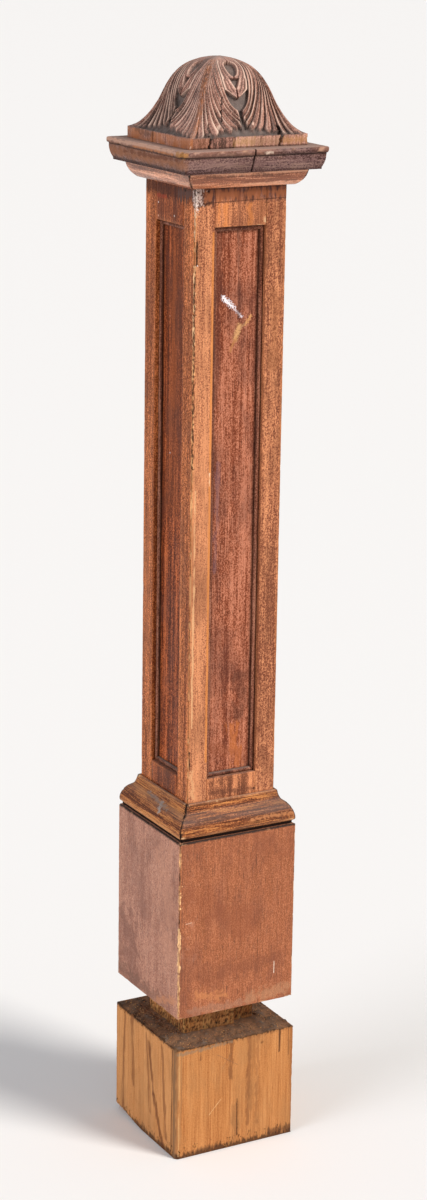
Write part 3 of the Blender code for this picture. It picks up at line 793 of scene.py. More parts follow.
# The lit panel's colour is pinker than its shaded copy. The pinker colour stands in for the sheen on the front, a
# painted sheen.
RED_PANEL = WoodFinish(
    "Red-stained oak panel",
    dark="#713520",
    middle="#96543b",
    light="#a86347",
    bright="#c78063",
    smoke="#5a352d",
    rings=0.1,
    band_mm=7.0,
    mottle=0.9,
    bands=0.8,
    streaks=0.7,
    patches=0.6,
    marks=(
        Mark((-19, -57.2, 1178), (-4, -57.2, 1164), 7, "#f6f0f4", 0.95, 1.1, 1.8),
        Mark((-6, -57.2, 1165), (9, -57.2, 1151), 4, "#e2d6da", 0.8, 1.2, 1.8),
        Mark((22, -57.2, 1151), (14, -57.2, 1141), 5, "#d59a62", 0.85, 1.2, 1.8),
        Mark((14, -57.2, 1143), (8, -57.2, 1137), 3, "#8a6a50", 0.6, 1.0, 2.0),
        Mark((5.5, -57.2, 1139), (0, -57.2, 1124), 10, "#d3a06c", 0.9, 0.7, 2.2),
        Mark((0, -57.2, 1124), (-7, -57.2, 1108), 5, "#b87e4e", 0.75, 1.0, 2.0),
        Mark((1.9, -57.2, 1262), (4.5, -57.2, 1150), 7, "#4b2a22", 0.55, 0.75, 3.5, 6.0),
        Mark((-26, -57.2, 1262), (-27, -57.2, 1040), 10, "#5a3126", 0.45, 0.8, 5.0, 6.0),
        Mark((-22, -57.2, 960), (-24, -57.2, 820), 9, "#6d5560", 0.4, 0.9, 4.0, 6.0),
        Mark((16.7, -57.2, 668), (18, -57.2, 612), 26, "#4a2a21", 0.5, 0.8, 10.0, 1.5),
        Mark((6, -57.2, 600), (14, -57.2, 548), 18, "#c4703c", 0.6, 0.9, 4.0, 4.0),
        Mark((-28, -57.2, 575), (28, -57.2, 552), 18, "#8f4f34", 0.4, 0.8, 6.0),
        Mark((-57.2, 0, 1262), (-57.2, 0, 900), 60, "#6e3a22", 0.45, 0.3, 20.0, 3.0),
        Mark((-57.2, 4, 1235), (-57.2, 2, 1030), 16, "#a4562c", 0.4, 0.9, 6.0, 6.0),
        Mark((-57.2, 10, 966), (-57.2, 10, 966), 2.6, FLECK, 0.8, 0.3),
        Mark((-57.2, 14, 1146), (-57.2, 14, 1146), 2.4, "#c8a898", 0.8, 0.3),
    ),
)
# Shaded copies of the finishes for the left and the back, whose deeper, more saturated colours are painted shade.
SHADED_STILE = replace(
    STILE_OAK, name="Stained oak, upright grain, dark", dark="#733418", middle="#a55c2f", light="#bb6d40", bright="#f39157"
)
SHADED_RAIL = replace(
    RAIL_OAK, name="Stained oak rail, dark", dark="#542513", middle="#834123", light="#9c512c", bright="#d47540"
)
SHADED_PANEL = replace(
    RED_PANEL, name="Red-stained oak panel, dark", dark="#4f1f0a", middle="#833a1a", light="#984c27", bright="#d1703e"
)
DARK_BEAD = WoodFinish(
    "Dark stained bead",
    dark="#4a2618",
    middle="#6d3b28",
    light="#8c5742",
    bright="#a9745c",
    rubbed="#a56c52",
    dust_and_sheen="#7d7068",
    dust_up=0.6,
    rings=0.0,
    mottle=0.7,
)
PLINTH_OAK = WoodFinish(
    "Orange-stained oak board",
    dark="#8b4f2c",
    middle="#9e5937",
    light="#ad6642",
    bright="#bd7851",
    smoke="#7c4632",
    streak_mm=1.0,
    streaks=0.45,
    bands=0.25,
    mottle=0.85,
    rings=0.12,
    ring_mm=4.0,
    pores=0.45,
    patches=0.55,
    bare="#e0b083",
    specular=0.25,
    coat=0.1,
    marks=(
        Mark((-78.3, -88.9, 343), (-69.2, -88.9, 344), 1.8, "#dbb79e", 0.6, 0.6, 2.0),
        Mark((59.7, -88.9, 263), (59.7, -88.9, 246), 1.6, "#ecd2bc", 0.9, 0.3, 2.0),
        Mark((-88.9, 60, 290), (-88.9, 40, 215), 60, "#6e4236", 0.5, 0.9, 18.0),
        Mark((-88.9, -40, 213), (-88.9, 88, 218), 26, "#6a4838", 0.45, 0.9, 9.0),
        Mark((-88.9, -80, 230), (-88.9, -30, 212), 14, "#d08a5c", 0.5, 0.9, 6.0),
        Mark((-88.9, 50, 400), (-88.9, 20, 330), 50, "#85584a", 0.35, 0.9, 22.0),
        # A pale pinkish patch near the front arris of the left face: a painted sheen.
        Mark((-88.9, -50, 430), (-88.9, -60, 300), 60, "#c88e72", 0.4, 0.9, 14.0),
        # Black lines at the top of the plinth, under the base mould: painted shadow in the gap.
        Mark((-88.9, -88.9, 458.6), (-88.9, 88.9, 458.6), 7, "#1f110c", 0.97, 0.2, 3.0),
        Mark((-88.9, -88.9, 458.6), (88.9, -88.9, 458.6), 7, "#1f110c", 0.97, 0.2, 3.0),
        Mark((-50, -88.9, 262), (60, -88.9, 268), 34, "#7c432a", 0.45, 0.9, 12.0),
        Mark((-60, -88.9, 370), (10, -88.9, 330), 60, "#874729", 0.4, 0.9, 24.0),
        Mark((40, -88.9, 440), (70, -88.9, 420), 40, "#8a4c2f", 0.35, 0.9, 18.0),
        Mark((-60, -88.9, 236), (-20, -88.9, 228), 16, "#cd8450", 0.5, 0.9, 6.0),
        Mark((-84.5, -88.9, 440), (-84.5, -88.9, 215), 2.4, "#6b3d2a", 0.5, 0.8, 4.0, 6.0),
        Mark((-88.7, -88.7, 444), (-88.7, -88.7, 424), 4.0, "#f4bd80", 0.95, 1.4, 2.5, 2.0),
        Mark((-88.7, -88.7, 424), (-88.7, -88.7, 400), 3.0, "#4b2b1d", 0.8, 1.0, 2.5, 2.0),
        Mark((-88.7, -88.7, 398), (-88.7, -88.7, 366), 4.4, "#f6c186", 0.95, 1.4, 2.5, 2.0),
        Mark((-88.7, -88.7, 364), (-88.7, -88.7, 336), 3.2, "#43271a", 0.85, 1.0, 2.5, 2.0),
        Mark((-88.9, -88.0, 336), (-88.9, -88.0, 276), 5.0, "#f8c88f", 0.95, 1.3, 2.5, 2.5),
        Mark((-88.7, -88.7, 276), (-88.7, -88.7, 212), 3.8, "#eab880", 0.9, 1.5, 2.5, 2.5),
        Mark((20, -88.9, 214), (80, -88.9, 222), 22, "#b88a66", 0.4, 0.8, 7.0),
        Mark((-70, -88.9, 214), (10, -88.9, 212), 14, "#a88068", 0.35, 0.8, 7.0),
    ),
)
# The plinth's copy for the two sides is paler and pinker, as a painted sheen on the left face.
SHEEN_PAINTED_PLINTH = replace(
    PLINTH_OAK,
    name="Orange-stained oak board, painted sheen",
    dark="#996149",
    middle="#b0755d",
    light="#bd846a",
    bright="#cd967b",
)
AMBER_OAK = WoodFinish(
    "Amber varnished oak moulding",
    dark="#5a2f1a",
    middle="#8c4f2d",
    light="#ab6539",
    bright="#d08a4d",
    smoke="#5d4035",
    grain=Grain.ALONG_X,
    rings=0.5,
    ring_mm=5.0,
    rubbed="#cb9064",
    dust_and_sheen="#8c8078",
    dust_up=0.3,
    streaks=1.2,
    bands=0.9,
    mottle=0.6,
    patches=0.6,
    marks=(
        Mark((-84, -20, 483), (-76, -12, 491), 9, "#a39890", 0.85, 0.8, 3.0),
        Mark((-79, -34, 489), (-74, 30, 492), 6, "#8e7f75", 0.6, 1.1, 4.0),
        # Black lines in the recess under the mould's foot: painted shadow.
        Mark((-85.4, -85.4, 460.9), (-85.4, 85.4, 460.9), 7, "#1a0e0a", 1.0, 0.1, 3.0),
        Mark((-85.4, -85.4, 460.9), (85.4, -85.4, 460.9), 7, "#1a0e0a", 1.0, 0.1, 3.0),
        Mark((-88.9, -88.9, 468), (-74, -74, 492), 5.0, "#231610", 0.9, 0.9, 2.5),
        Mark((-72.5, -72.5, 495), (-69.5, -69.5, 505), 7.0, "#2a1a13", 0.85, 0.8, 2.5),
        Mark((-84, -88, 473), (-78, -86.2, 478), 5.0, "#5b3a26", 0.7, 1.0, 2.5),
        Mark((20, -87, 475), (84, -87, 475), 6, "#d08a58", 0.55, 1.0, 4.0),
        Mark((-60, -84, 483), (-10, -84, 483), 6, "#54321f", 0.5, 1.1, 6.0),
    ),
)
BED_OAK = WoodFinish(
    "Rubbed oak moulding",
    dark="#965436",
    middle="#c37953",
    light="#da8c65",
    bright="#f9b48d",
    smoke="#6a3f2e",
    grain=Grain.ALONG_X,
    rings=0.15,
    specular=0.3,
    coat=0.35,
    coat_roughness=0.16,
    rubbed="#c08d72",
    streaks=0.9,
    bands=1.2,
    mottle=0.6,
    patches=0.7,
    marks=(
        Mark((-60, -86, 1334), (50, -86, 1334), 4.5, "#6b3d28", 0.6, 1.1, 6.0),
        Mark((-40, -82, 1326), (70, -82, 1326), 5, "#7c4a30", 0.5, 1.2, 7.0),
        Mark((-86, -60, 1334), (-86, 70, 1334), 4.5, "#6a4536", 0.6, 1.2, 6.0),
        Mark((-79, -40, 1322), (-79, 80, 1322), 6, "#74452f", 0.6, 1.1, 6.0),
        Mark((-86.6, -86.6, 1339), (-76, -76, 1320), 3.6, INK, 0.9, 0.4, 3.0),
    ),
)
DARK_CORNICE = WoodFinish(
    "Dark stained oak slab",
    dark="#452b27",
    middle="#624846",
    light="#765756",
    bright="#957568",
    smoke="#54382e",
    grain=Grain.ALONG_X,
    streak_mm=2.0,
    rings=0.1,
    rubbed="#9a6b56",
    bare="#c79a80",
    dust_and_sheen="#b09486",
    dust_up=0.6,
    streaks=0.7,
    bands=0.7,
    mottle=0.9,
    marks=(
        Mark((-104.4, -96, 1352), (-104.4, 104, 1352), 24, "#96603f", 0.75, 0.3, 8.0),
        Mark((-104.2, -96, 1366.5), (-104.2, 104, 1366.5), 7.5, "#c49a84", 0.85, 0.5, 7.0),
        Mark((-102.2, -90, 1357), (-102.2, 60, 1354), 6, "#5b3326", 0.6, 1.2, 8.0),
        Mark((-104.4, -78, 1363.5), (-104.4, 30, 1363.5), 4, "#ae6f45", 0.7, 0.8, 7.0),
        Mark((-104.4, -101, 1365), (-104.4, -88, 1365), 10, "#a87440", 0.8, 0.6, 2.5),
        Mark((-101, -104.4, 1365), (-104.4, -98, 1365), 11, "#b27c45", 0.85, 0.4, 2.5),
        Mark((-104.4, -99, 1365.2), (-104.4, -99, 1365.2), 8.5, "#5d3317", 0.85, 0.25, 2.0),
        Mark((-104.4, -99, 1365.2), (-104.4, -99, 1365.2), 6.0, "#cf9a5c", 0.9, 0.2, 2.0),
        Mark((-104.4, -99, 1365.2), (-104.4, -99, 1365.2), 2.6, "#4e2a12", 0.95, 0.2, 2.0),
        Mark((12, -104.4, 1364), (22, -104.4, 1364.5), 4, "#ecd0ba", 0.85, 0.7, 3.0),
        Mark((-30, -104.4, 1366), (70, -104.4, 1366), 3, "#97766c", 0.5, 0.7, 6.0),
        # Dark lines in the quirk under the lip: painted shade.
        Mark((-103, -103, 1361), (103, -103, 1361), 4.0, "#33201c", 0.8, 0.2, 4.0),
        Mark((-103, -103, 1361), (-103, 103, 1361), 4.0, "#33201a", 0.85, 0.2, 4.0),
        Mark((-98.5, -98, 1342), (-98.5, 98, 1342), 6, "#35201a", 0.7, 0.5, 4.0),
        Mark((-90, -102, 1352), (90, -102, 1352), 9, "#86645e", 0.4, 1.2, 7.0),
        Mark((-90, -104.4, 1363.5), (90, -104.4, 1363.5), 5, "#4a2f29", 0.5, 1.0, 7.0),
    ),
)
CARVED_OAK = WoodFinish(
    "Carved oak under old varnish",
    dark="#553b30",
    middle="#966859",
    light="#b4816e",
    bright="#e3ad98",
    smoke="#5c4136",
    streak_mm=2.0,
    streak_length_mm=18.0,
    band_length_mm=60.0,
    rings=0.05,
    patches=0.3,
    relief_mm=0.15,
    rubbed="#b06a3c",
    # bare also colours the painted highlights on the carved crests.
    bare="#ecc8b2",
    grime_and_shade="#251915",
    dust_and_sheen="#8d7f78",
    mottle=0.5,
    pores=0.2,
    dust_up=0.3,
    streaks=0.15,
    bands=0.2,
    specular=0.25,
    marks=(
        Mark((-17, -84.3, 1376), (4, -84.3, 1376), 15, "#b58a58", 0.6, 0.7, 3.0, 5.0),
        Mark((6, -84.3, 1376), (45, -84.3, 1376), 15, "#a57c5c", 0.55, 0.7, 3.0, 5.0),
        Mark((52, -84.3, 1376), (82, -84.3, 1376), 13, "#b5814f", 0.65, 0.6, 3.0, 5.0),
        Mark((-84.3, -84.3, 1370), (84.3, -84.3, 1370), 3, "#3a241b", 0.7, 0.5, 3.0),
        Mark((-84.3, 14, 1378), (-84.3, 60, 1380), 9, "#5d3c2a", 0.5, 1.0, 5.0),
    ),
)
PINE = WoodFinish(
    "Sawn pine, bare",
    dark="#9f6236",
    middle="#b97a46",
    light="#c4844e",
    bright="#d3955e",
    smoke="#a5774c",
    streak_mm=1.5,
    streak_length_mm=90,
    streaks=0.5,
    band_mm=8.0,
    bands=0.4,
    mottle=0.3,
    ring_mm=6.5,
    rings=0.16,
    tree_axis_mm=(70.0, 14.0),
    tree_lean=-0.16,
    pores=0.15,
    patches=0.4,
    roughness=0.72,
    coat=0.0,
    rubbed="#8a5a38",
    bare="#d9a868",
    grime_and_shade="#2b2019",
    dust_and_sheen="#8a7a6e",
    dust_up=0.25,
    marks=(
        Mark((-7.3, -91.4, 161), (-7.3, -91.4, 104), 9, "#6b3f26", 0.55, 0.8, 3.0, 3.5),
        Mark((22.4, -91.4, 161), (20.6, -91.4, 30), 8.0, "#6e4028", 0.5, 0.8, 3.0, 3.5),
        Mark((36, -91.4, 161), (35, -91.4, 28), 7.0, "#7f4f30", 0.4, 0.9, 3.0, 3.5),
        Mark((0, -91.4, 60), (2, -91.4, 8), 14, "#8a5f3c", 0.5, 1.0, 3.0, 7.0),
        Mark((27, -91.4, 161), (26, -91.4, 50), 9.0, "#8a5c38", 0.45, 0.9, 5.0, 8.0),
        Mark((-54, -91.4, 161), (-54, -91.4, 141), 3.0, "#6b4128", 0.6, 0.6, 2.5, 4.0),
        Mark((70.2, -91.4, 161), (70.2, -91.4, 128), 4.5, "#4a2c1c", 0.8, 0.6, 2.5, 5.0),
        Mark((84, -91.4, 161), (85, -91.4, 120), 3.0, "#6b452c", 0.5, 0.6, 2.5, 5.0),
        Mark((-28.1, -91.4, 143), (3.9, -91.4, 121.8), 1.1, "#7a5a44", 0.6, 0.3, 3.0),
        Mark((-20, -91.4, 121), (-6, -91.4, 141), 1.1, "#7a5a44", 0.55, 0.3, 3.0),
        Mark((4, -90.8, 70), (5, -90.8, 16), 3.0, "#4b2d1b", 0.95, 0.3, 3.0),
        Mark((-21.4, -91.4, 75.6), (-39.9, -91.4, 55.8), 1.4, "#e3b884", 0.7, 0.4, 3.0),
        Mark((41.9, -91.4, 147.3), (41.9, -91.4, 147.3), 5.5, "#6e4426", 0.8, 0.3),
        Mark((-84, -91.4, 158), (-84, -91.4, 6), 4.0, "#a2774e", 0.45, 0.8, 3.0, 6.0),
        Mark((-91.4, -91.4, 2), (91.4, -91.4, 1), 14, "#3f281b", 0.85, 0.75, 4.0, 3.0),
        Mark((-91.4, -91.4, 2), (-91.4, 91.4, 2), 15, "#4a2e1e", 0.85, 0.75, 4.0, 3.0),
        Mark((-60, -91.4, 6), (-30, -91.4, 6), 12, "#5a3a26", 0.6, 0.9, 4.0, 5.0),
        Mark((60, -91.4, 8), (91, -91.4, 8), 16, "#503222", 0.7, 0.9, 4.0, 5.0),
        Mark((-91.4, -91.4, 162), (91.4, -91.4, 162), 6.5, "#46301f", 0.9, 0.6, 3.5, 2.0),
        Mark((-91.4, -91.4, 162), (-91.4, 91.4, 162), 8.0, "#46301f", 0.9, 0.6, 3.5, 2.0),
        Mark((-91.4, -85.5, 161), (-91.4, -85, 0), 12, "#7b5a3e", 0.8, 0.3, 3.0, 6.0),
        Mark((-91.4, -90.5, 161), (-91.4, -90.5, 0), 3.5, "#3a2417", 0.85, 0.4, 3.0, 6.0),
        Mark((-91.4, -79, 158), (-91.4, -78, 0), 3.4, "#4b2f1d", 0.85, 0.5, 3.0, 8.0),
        Mark((-91.4, 89, 161), (-91.4, 89, 0), 5.0, "#5a3b28", 0.7, 0.6, 3.0, 6.0),
        Mark((-91.4, -12, 140), (-91.4, -26, 70), 9.0, "#6e3c20", 0.75, 0.8, 4.0, 6.0),
        Mark((-91.4, -26, 70), (-91.4, -55, 0), 10.0, "#6a3a20", 0.75, 0.8, 4.0, 6.0),
        Mark((-91.4, -50, 150), (-91.4, -62, 20), 9.0, "#7c4a28", 0.65, 0.9, 4.0, 8.0),
        Mark((-91.4, -2, 150), (-91.4, -16, 40), 9.0, "#84502c", 0.6, 0.9, 4.0, 8.0),
        Mark((-91.4, 40, 161), (-91.4, 34, 60), 9.0, "#7c4a28", 0.65, 0.9, 4.0, 7.0),
        Mark((-91.4, 62, 161), (-91.4, 66, 10), 9.0, "#7c4a28", 0.65, 0.9, 4.0, 8.0),
        Mark((-88, -91.4, 155), (-6, -91.4, 158.5), 6, "#8b745c", 0.65, 0.9, 4.0),
        Mark((-87, -91.4, 158), (-87, -91.4, 4), 2.4, "#d8ab74", 0.5, 0.8, 4.0, 6.0),
    ),
)
# The same pine where a saw and a chisel left torn ends: fibres stand up and catch soot.
TORN_PINE = WoodFinish(
    "Torn pine fibres",
    dark="#4a3020",
    middle="#7a5232",
    light="#a5713f",
    bright="#c99455",
    rings=0.0,
    roughness=0.85,
    coat=0.0,
)
# Old emulsion that was spattered on the arris: matt, chalky and thin.
SPATTER = WoodFinish(
    "Spattered emulsion paint",
    dark="#b9a99f",
    middle="#dccfc6",
    light="#efe6df",
    bright="#f7f2ee",
    rings=0.0,
    pores=0.0,
    patches=0.1,
    roughness=0.8,
    coat=0.0,
)


@dataclass
class Shaft:
    """The square shaft: grooved stiles and rails with a sunk panel and a bead round it."""

    face: float = 0.0664
    crack_reach: float = 0.0630
    crack_foot: float = 1.223
    crack_head: float = 1.251
    crack_depth: float = 0.0022
    bead_inner: float = 0.0312
    bead_foot: float = 0.0587

    def build(self) -> None:
        """Builds and dresses the frame, panels and beads of all four sides."""
        lit = [finish.material() for finish in (STILE_OAK, RAIL_OAK, RED_PANEL)]
        shaded = [finish.material() for finish in (SHADED_STILE, SHADED_RAIL, SHADED_PANEL)]
        bead = DARK_BEAD.material()
        shades = {"front": 0.2, "right": -0.1, "back": -0.2, "left": 0.0}
        for side in SIDES:
            stile, rail, panel = shaded if side in ("left", "back") else lit
            across = Grain.ALONG_X if side in ("front", "back") else Grain.ALONG_Y
            for hand in ("left", "right"):
                name = f"shaft_stile_{side}_{hand}"
                paler = {("front", "left"): 0.9, ("front", "right"): -0.4}.get((side, hand), 0.0)
                mesh = self.stile(name, shades[side] + paler)
                stand_for(f"worn_{name}", mesh, stile, [name])
                if (side, hand) == ("front", "left"):
                    self.spatter(mesh)
            for place in ("bottom", "top"):
                name = f"shaft_rail_{side}_{place}"
                tone = shades[side] + (0.3 if place == "top" else -0.1)
                mesh = WornStrip(name, across, arris=0.4, chip=0.4, tone=tone, rubbed=0.3, seed=3).mesh()
                stand_for(f"worn_{name}", mesh, rail, [name])
            name = f"shaft_panel_{side}"
            mesh = WornStrip(name, Grain.UPRIGHT, arris=0.3, step=9, insets=(11.4, 16.0), tone=shades[side]).mesh()
            places = vertex_array(mesh)
            # Darker on the panel's edge beside the bead: painted shade with dirt.
            beside = ramp(np.abs(places[:, :2]).min(1), self.bead_inner - 0.005, self.bead_inner)
            paint(mesh, "grime_and_shade", beside * 0.55)
            stand_for(f"worn_{name}", mesh, panel, [name])
            for place in ("bottom", "right", "top", "left"):
                name = f"panel_bead_{side}_{place}"
                along = across if place in ("bottom", "top") else Grain.UPRIGHT
                mesh = WornStrip(name, along, arris=0.2, insets=(9,), chip=0.5, chip_size=6, rubbed=0.5).mesh()
                # Darker down in the bead's recess, next to the panel: painted shade.
                reach = np.abs(vertex_array(mesh)[:, :2]).max(1)
                paint(mesh, "grime_and_shade", 0.85 * (1 - ramp(reach, self.bead_foot, self.bead_foot + 0.0012)))
                stand_for(f"worn_{name}", mesh, bead, [name])

    def stile(self, name: str, tone: float) -> bpy.types.Mesh:
        """One stile with its arrises worn, and split where it meets the front left arris.

        Args:
            name: The stile's node.
            tone: How much lighter it is than the rest.

        Returns:
            Its mesh.
        """
        at_corner = name in ("shaft_stile_front_left", "shaft_stile_left_right")
        mesh = WornStrip(
            name,
            Grain.UPRIGHT,
            step=3.0 if at_corner else 5.0,
            insets=(1.5, 2.6, 3.4, 4.2, 9.0) if at_corner else (1.6, 4.0),
            chip=1.3 if at_corner else 1.0,
            chip_size=4.0,
            chip_level=0.0 if at_corner else 0.25,
            sheltered=1.0,
            tone=tone,
            seed=3.0 if at_corner else piece_number(name) * 9,
        ).mesh()
        places = vertex_array(mesh)
        split = (np.abs(places[:, 0] + self.crack_reach) < 0.0004) & (places[:, 1] < -self.face + 0.001)
        run = ramp(places[:, 2], self.crack_foot - 0.006, self.crack_foot + 0.004)
        run *= 1 - ramp(places[:, 2], self.crack_head - 0.004, self.crack_head + 0.006)
        places[:, 1] += split * run * self.crack_depth
        mesh.vertices.foreach_set("co", places.ravel())
        return mesh

    def spatter(self, mesh: bpy.types.Mesh) -> None:
        """Paint spattered on the head of the front left arris."""
        places = vertex_array(mesh)
        near = (places[:, 2] > 1.285) & (places[:, 0] < -0.0575) & (places[:, 1] < -0.0655)
        bits = Strewn(
            "paint_spatter", Bit.CRUMB, 110000, 0.4, 1.5, (1, 0.45, 1.4), (0, 0, 0), (0.6, 0.6, 6.28), 5
        )
        material = SPATTER.material()
        stand_for("paint_spatter", bits.mesh(patch(mesh, near), material), material)


@dataclass
class PlinthAndMoulds:
    """The plinth boards with the base mould on them, and the bed mould under the cornice."""

    def build(self) -> None:
        """Builds and dresses the three rings of mitred lengths."""
        finishes = {
            "plinth_board": (PLINTH_OAK, SHEEN_PAINTED_PLINTH, "plinth_oak"),
            "base_mould": (AMBER_OAK, replace(AMBER_OAK, grain=Grain.ALONG_Y), "amber_oak"),
            "bed_mould": (BED_OAK, replace(BED_OAK, grain=Grain.ALONG_Y), "bed_oak"),
        }
        shades = {
            "plinth_board": {"front": -0.1, "right": -0.1, "back": -0.3, "left": 0.2},
            "base_mould": {"front": -0.7, "right": -0.3, "back": -0.3, "left": 0.9},
            "bed_mould": {"front": 0.0, "right": -0.1, "back": -0.3, "left": 0.2},
        }
        for ring, (along_x, along_y, slot) in finishes.items():
            materials = along_x.material(), along_y.material()
            for number, side in enumerate(SIDES):
                name = f"{ring}_{side}"
                across = Grain.ALONG_X if side in ("front", "back") else Grain.ALONG_Y
                plinth = ring == "plinth_board"
                strip = WornStrip(
                    name,
                    Grain.UPRIGHT if plinth else across,
                    step=2.5,
                    chip=1.4 if plinth else 0.9,
                    chip_size=4.5,
                    chip_level=0.0 if plinth and side in ("front", "left") else 0.25,
                    rubbed=0.25 if plinth else 0.6,
                    tone=shades[ring][side],
                    seed=4.0 if plinth else piece_number(name) * 7,
                )
                mesh = strip.mesh()
                if not plinth:
                    self.mitres(mesh)
                stand_for(f"worn_{name}", mesh, materials[number % 2], [name])

    def mitres(self, mesh: bpy.types.Mesh) -> None:
        """Dirt in the open mitres at a mould's two ends."""
        places = vertex_array(mesh)
        away = np.abs(np.abs(places[:, 0]) - np.abs(places[:, 1]))
        joint = 1 - ramp(away, 0.0006, 0.0024)
        for name in ("rub", "wear_and_highlight"):
            paint(mesh, name, painted(mesh, name) * (1 - joint))
        uneven = np.clip(0.75 + roughness_at(places, 5, seed=31), 0.3, 1)
        paint(mesh, "grime_and_shade", np.maximum(painted(mesh, "grime_and_shade"), joint * uneven))


@dataclass
class CarvedDome:
    """The carved dome and the plain band that it grows from, one block.

    "Out" is the share of the way from a side's middle to its ridge, and "up" is the share of the
    way from the band to the crown, measured over the surface.
    """

    half: float = 0.0843
    band_foot: float = 1.3692
    foot: float = 1.3833
    height: float = 0.0924
    relief: float = 0.0056
    fronds: int = 7
    columns: int = 150
    band_rows: int = 9
    rows: int = 140
    flare: tuple = ((1.0, 0.0), (0.854, 0.043), (0.753, 0.206), (0.676, 0.357))
    bell: tuple = ((0.676, 0.357), (0.581, 0.541), (0.51, 0.996), (0.0, 1.0))
    leaf_cut: tuple = ((0.95, 0.93), (0.30, 0.76), (0.46, 0.40), (0.03, 0.30))
    beside_leaf: int = 2  # cuts between the leaf's and the fan's first
    fan_cuts: tuple = (
        ((0.985, 0.91), (0.80, 0.57), (0.45, 0.30), (0.07, 0.13)),
        ((0.985, 0.89), (0.88, 0.47), (0.70, 0.22), (0.50, 0.10)),
        ((0.993, 0.85), (0.975, 0.42), (0.955, 0.20), (0.90, 0.02)),
    )
    ridge_rounding: float = 0.03
    crown_rounding: float = 0.09
    face_fullness: float = 0.02
    square_foot: float = 0.1
    leaf_point: float = 0.412
    leaf_slant: float = 0.27
    hollow: tuple = (0.635, 0.82, 0.35)
    notch: tuple = (0.50, 0.61, 0.17)
    # Splits in the front: place, width, share of the full depth, foot and head, in millimetres
    cracks: tuple = (
        (-54.0, 1.9, 1.0, 1360.0, 1398.0),
        (-19.5, 1.0, 0.5, 1360.0, 1383.0),
        (17.0, 0.9, 0.3, 1360.0, 1382.0),
        (47.5, 2.6, 1.2, 1360.0, 1393.0),
        (-34.0, 1.2, 0.6, 1398.0, 1430.0),
    )
    # The front's staves, from one place to another in millimetres, and how light each is
    staves: tuple = (((-85, -54), -0.2), ((-54, -19.5), -0.7), ((-19.5, 5), 1.4), ((5, 47), 0.8), ((47, 85), 0.6))
    # Places where a tip of the carving broke off, as shares out and up
    lost: tuple = (("front", (-0.52, 0.14)), ("left", (0.34, 0.5)), ("front", (0.2, 0.17)))

    def outline(self, up: np.ndarray) -> tuple[np.ndarray, ...]:
        """The dome's outline.

        Args:
            up: Shares of the way up over the surface.

        Returns:
            Half-width, height, and the outward slope's two parts, at each share.
        """
        steps = np.linspace(0, 1, 60)
        shares = np.concatenate([bezier(self.flare, steps), bezier(self.bell, steps)[1:]])
        points = shares * (self.half, self.height)
        runs = np.hypot(*np.diff(points, axis=0).T)
        way = np.concatenate([[0], np.cumsum(runs)]) / runs.sum()
        half, height = (np.interp(up, way, points[:, k]) for k in (0, 1))
        slope_half, slope_height = (np.gradient(points[:, k], way) for k in (0, 1))
        dr, dh = np.interp(up, way, slope_half), np.interp(up, way, slope_height)
        run = np.hypot(dr, dh)
        return half, height, dh / run, -dr / run

    def cuts(self, seed: float) -> list[np.ndarray]:
        """The cuts on one half of a side, from the one under the leaf out to the ridge.

        Args:
            seed: Moves each cut a little, as handwork does.

        Returns:
            For each cut, points of (out, up) from its tip up to its head.
        """
        found = [np.array(self.leaf_cut)]
        first = np.array(self.fan_cuts[0])
        for number in range(self.beside_leaf):
            found.append(found[0] + (first - found[0]) * (number + 1) / (self.beside_leaf + 1))
        for number in range(self.fronds):
            share = number / (self.fronds - 1)
            stacked = np.array(self.fan_cuts)
            found.append(bezier([guides.ravel() for guides in stacked], [share]).reshape(4, 2))
        steps = np.linspace(1, 0, 40)
        traces = []
        for number, handles in enumerate(found):
            moved = handles.copy()
            moved[1:, 0] += 0.012 * np.sin(seed * 12.9 + number * 7.1 + np.arange(3))
            moved[3, 1] += 0.014 * math.sin(seed * 4.7 + number * 3.3)
            traces.append(bezier(moved, steps))
        return traces

    def carved(self, cuts: list[np.ndarray], out: np.ndarray, up: float, half: float):
        """How deep one row of the carving is sunk, and where its ground shows.

        Args:
            cuts: The cuts on this half of the side.
            out: Places in the row, from the middle to the ridge.
            up: The row's level.
            half: The dome's half-width there.

        Returns:
            The depth in metres, how much each place is ground, a groove and a crest, and which
            strand of the carving it lies on.
        """
        edges = np.array([np.interp(up, trace[:, 1], trace[:, 0]) for trace in cuts])
        edges = np.maximum.accumulate(np.append(edges, 1.0))
        width = half * (1 - edges[0]) / len(cuts)
        cut_depth = min(1.0, 0.7 * width / self.relief)
        number = np.searchsorted(edges, out, side="left")
        share, ground, groove, crest = self._leaf(out, edges[0], up, cut_depth)
        inner = edges[np.clip(number - 1, 0, len(edges) - 1)]
        outer = edges[np.clip(number, 0, len(edges) - 1)]
        gap = np.maximum(outer - inner, 1e-4)
        across = np.clip((out - inner) / gap, 0, 1)
        cut = np.clip(1.1 * (out[1] - out[0]) / gap, 0.16, 0.45)  # never narrower than the mesh can show
        back = ramp(across, 0.0, cut + 0.08) * (1 - 0.6 * ramp(across, cut + 0.1, 1.1))
        back -= 0.14 * np.exp(-(((across - 0.68) / 0.09) ** 2)) * (width > 0.004)
        back = np.where(number == len(cuts), ramp(across, 0.0, 0.4), back)
        tips = np.array([trace[0, 1] for trace in cuts])[np.clip(number, 0, len(cuts) - 1)]
        tip = tips + 0.045 * (1 - np.sin(np.pi * across))
        past = 1 - ramp(up, tip - 0.03, tip + 0.012)
        fan = np.maximum(cut_depth * (1 - back), past)
        in_fan = number > 0
        share = np.where(in_fan, fan, share)
        ground = np.where(in_fan, past, ground)
        fine_cut = 0.4 * np.exp(-(((across - 0.68) / 0.08) ** 2)) * (width > 0.003)
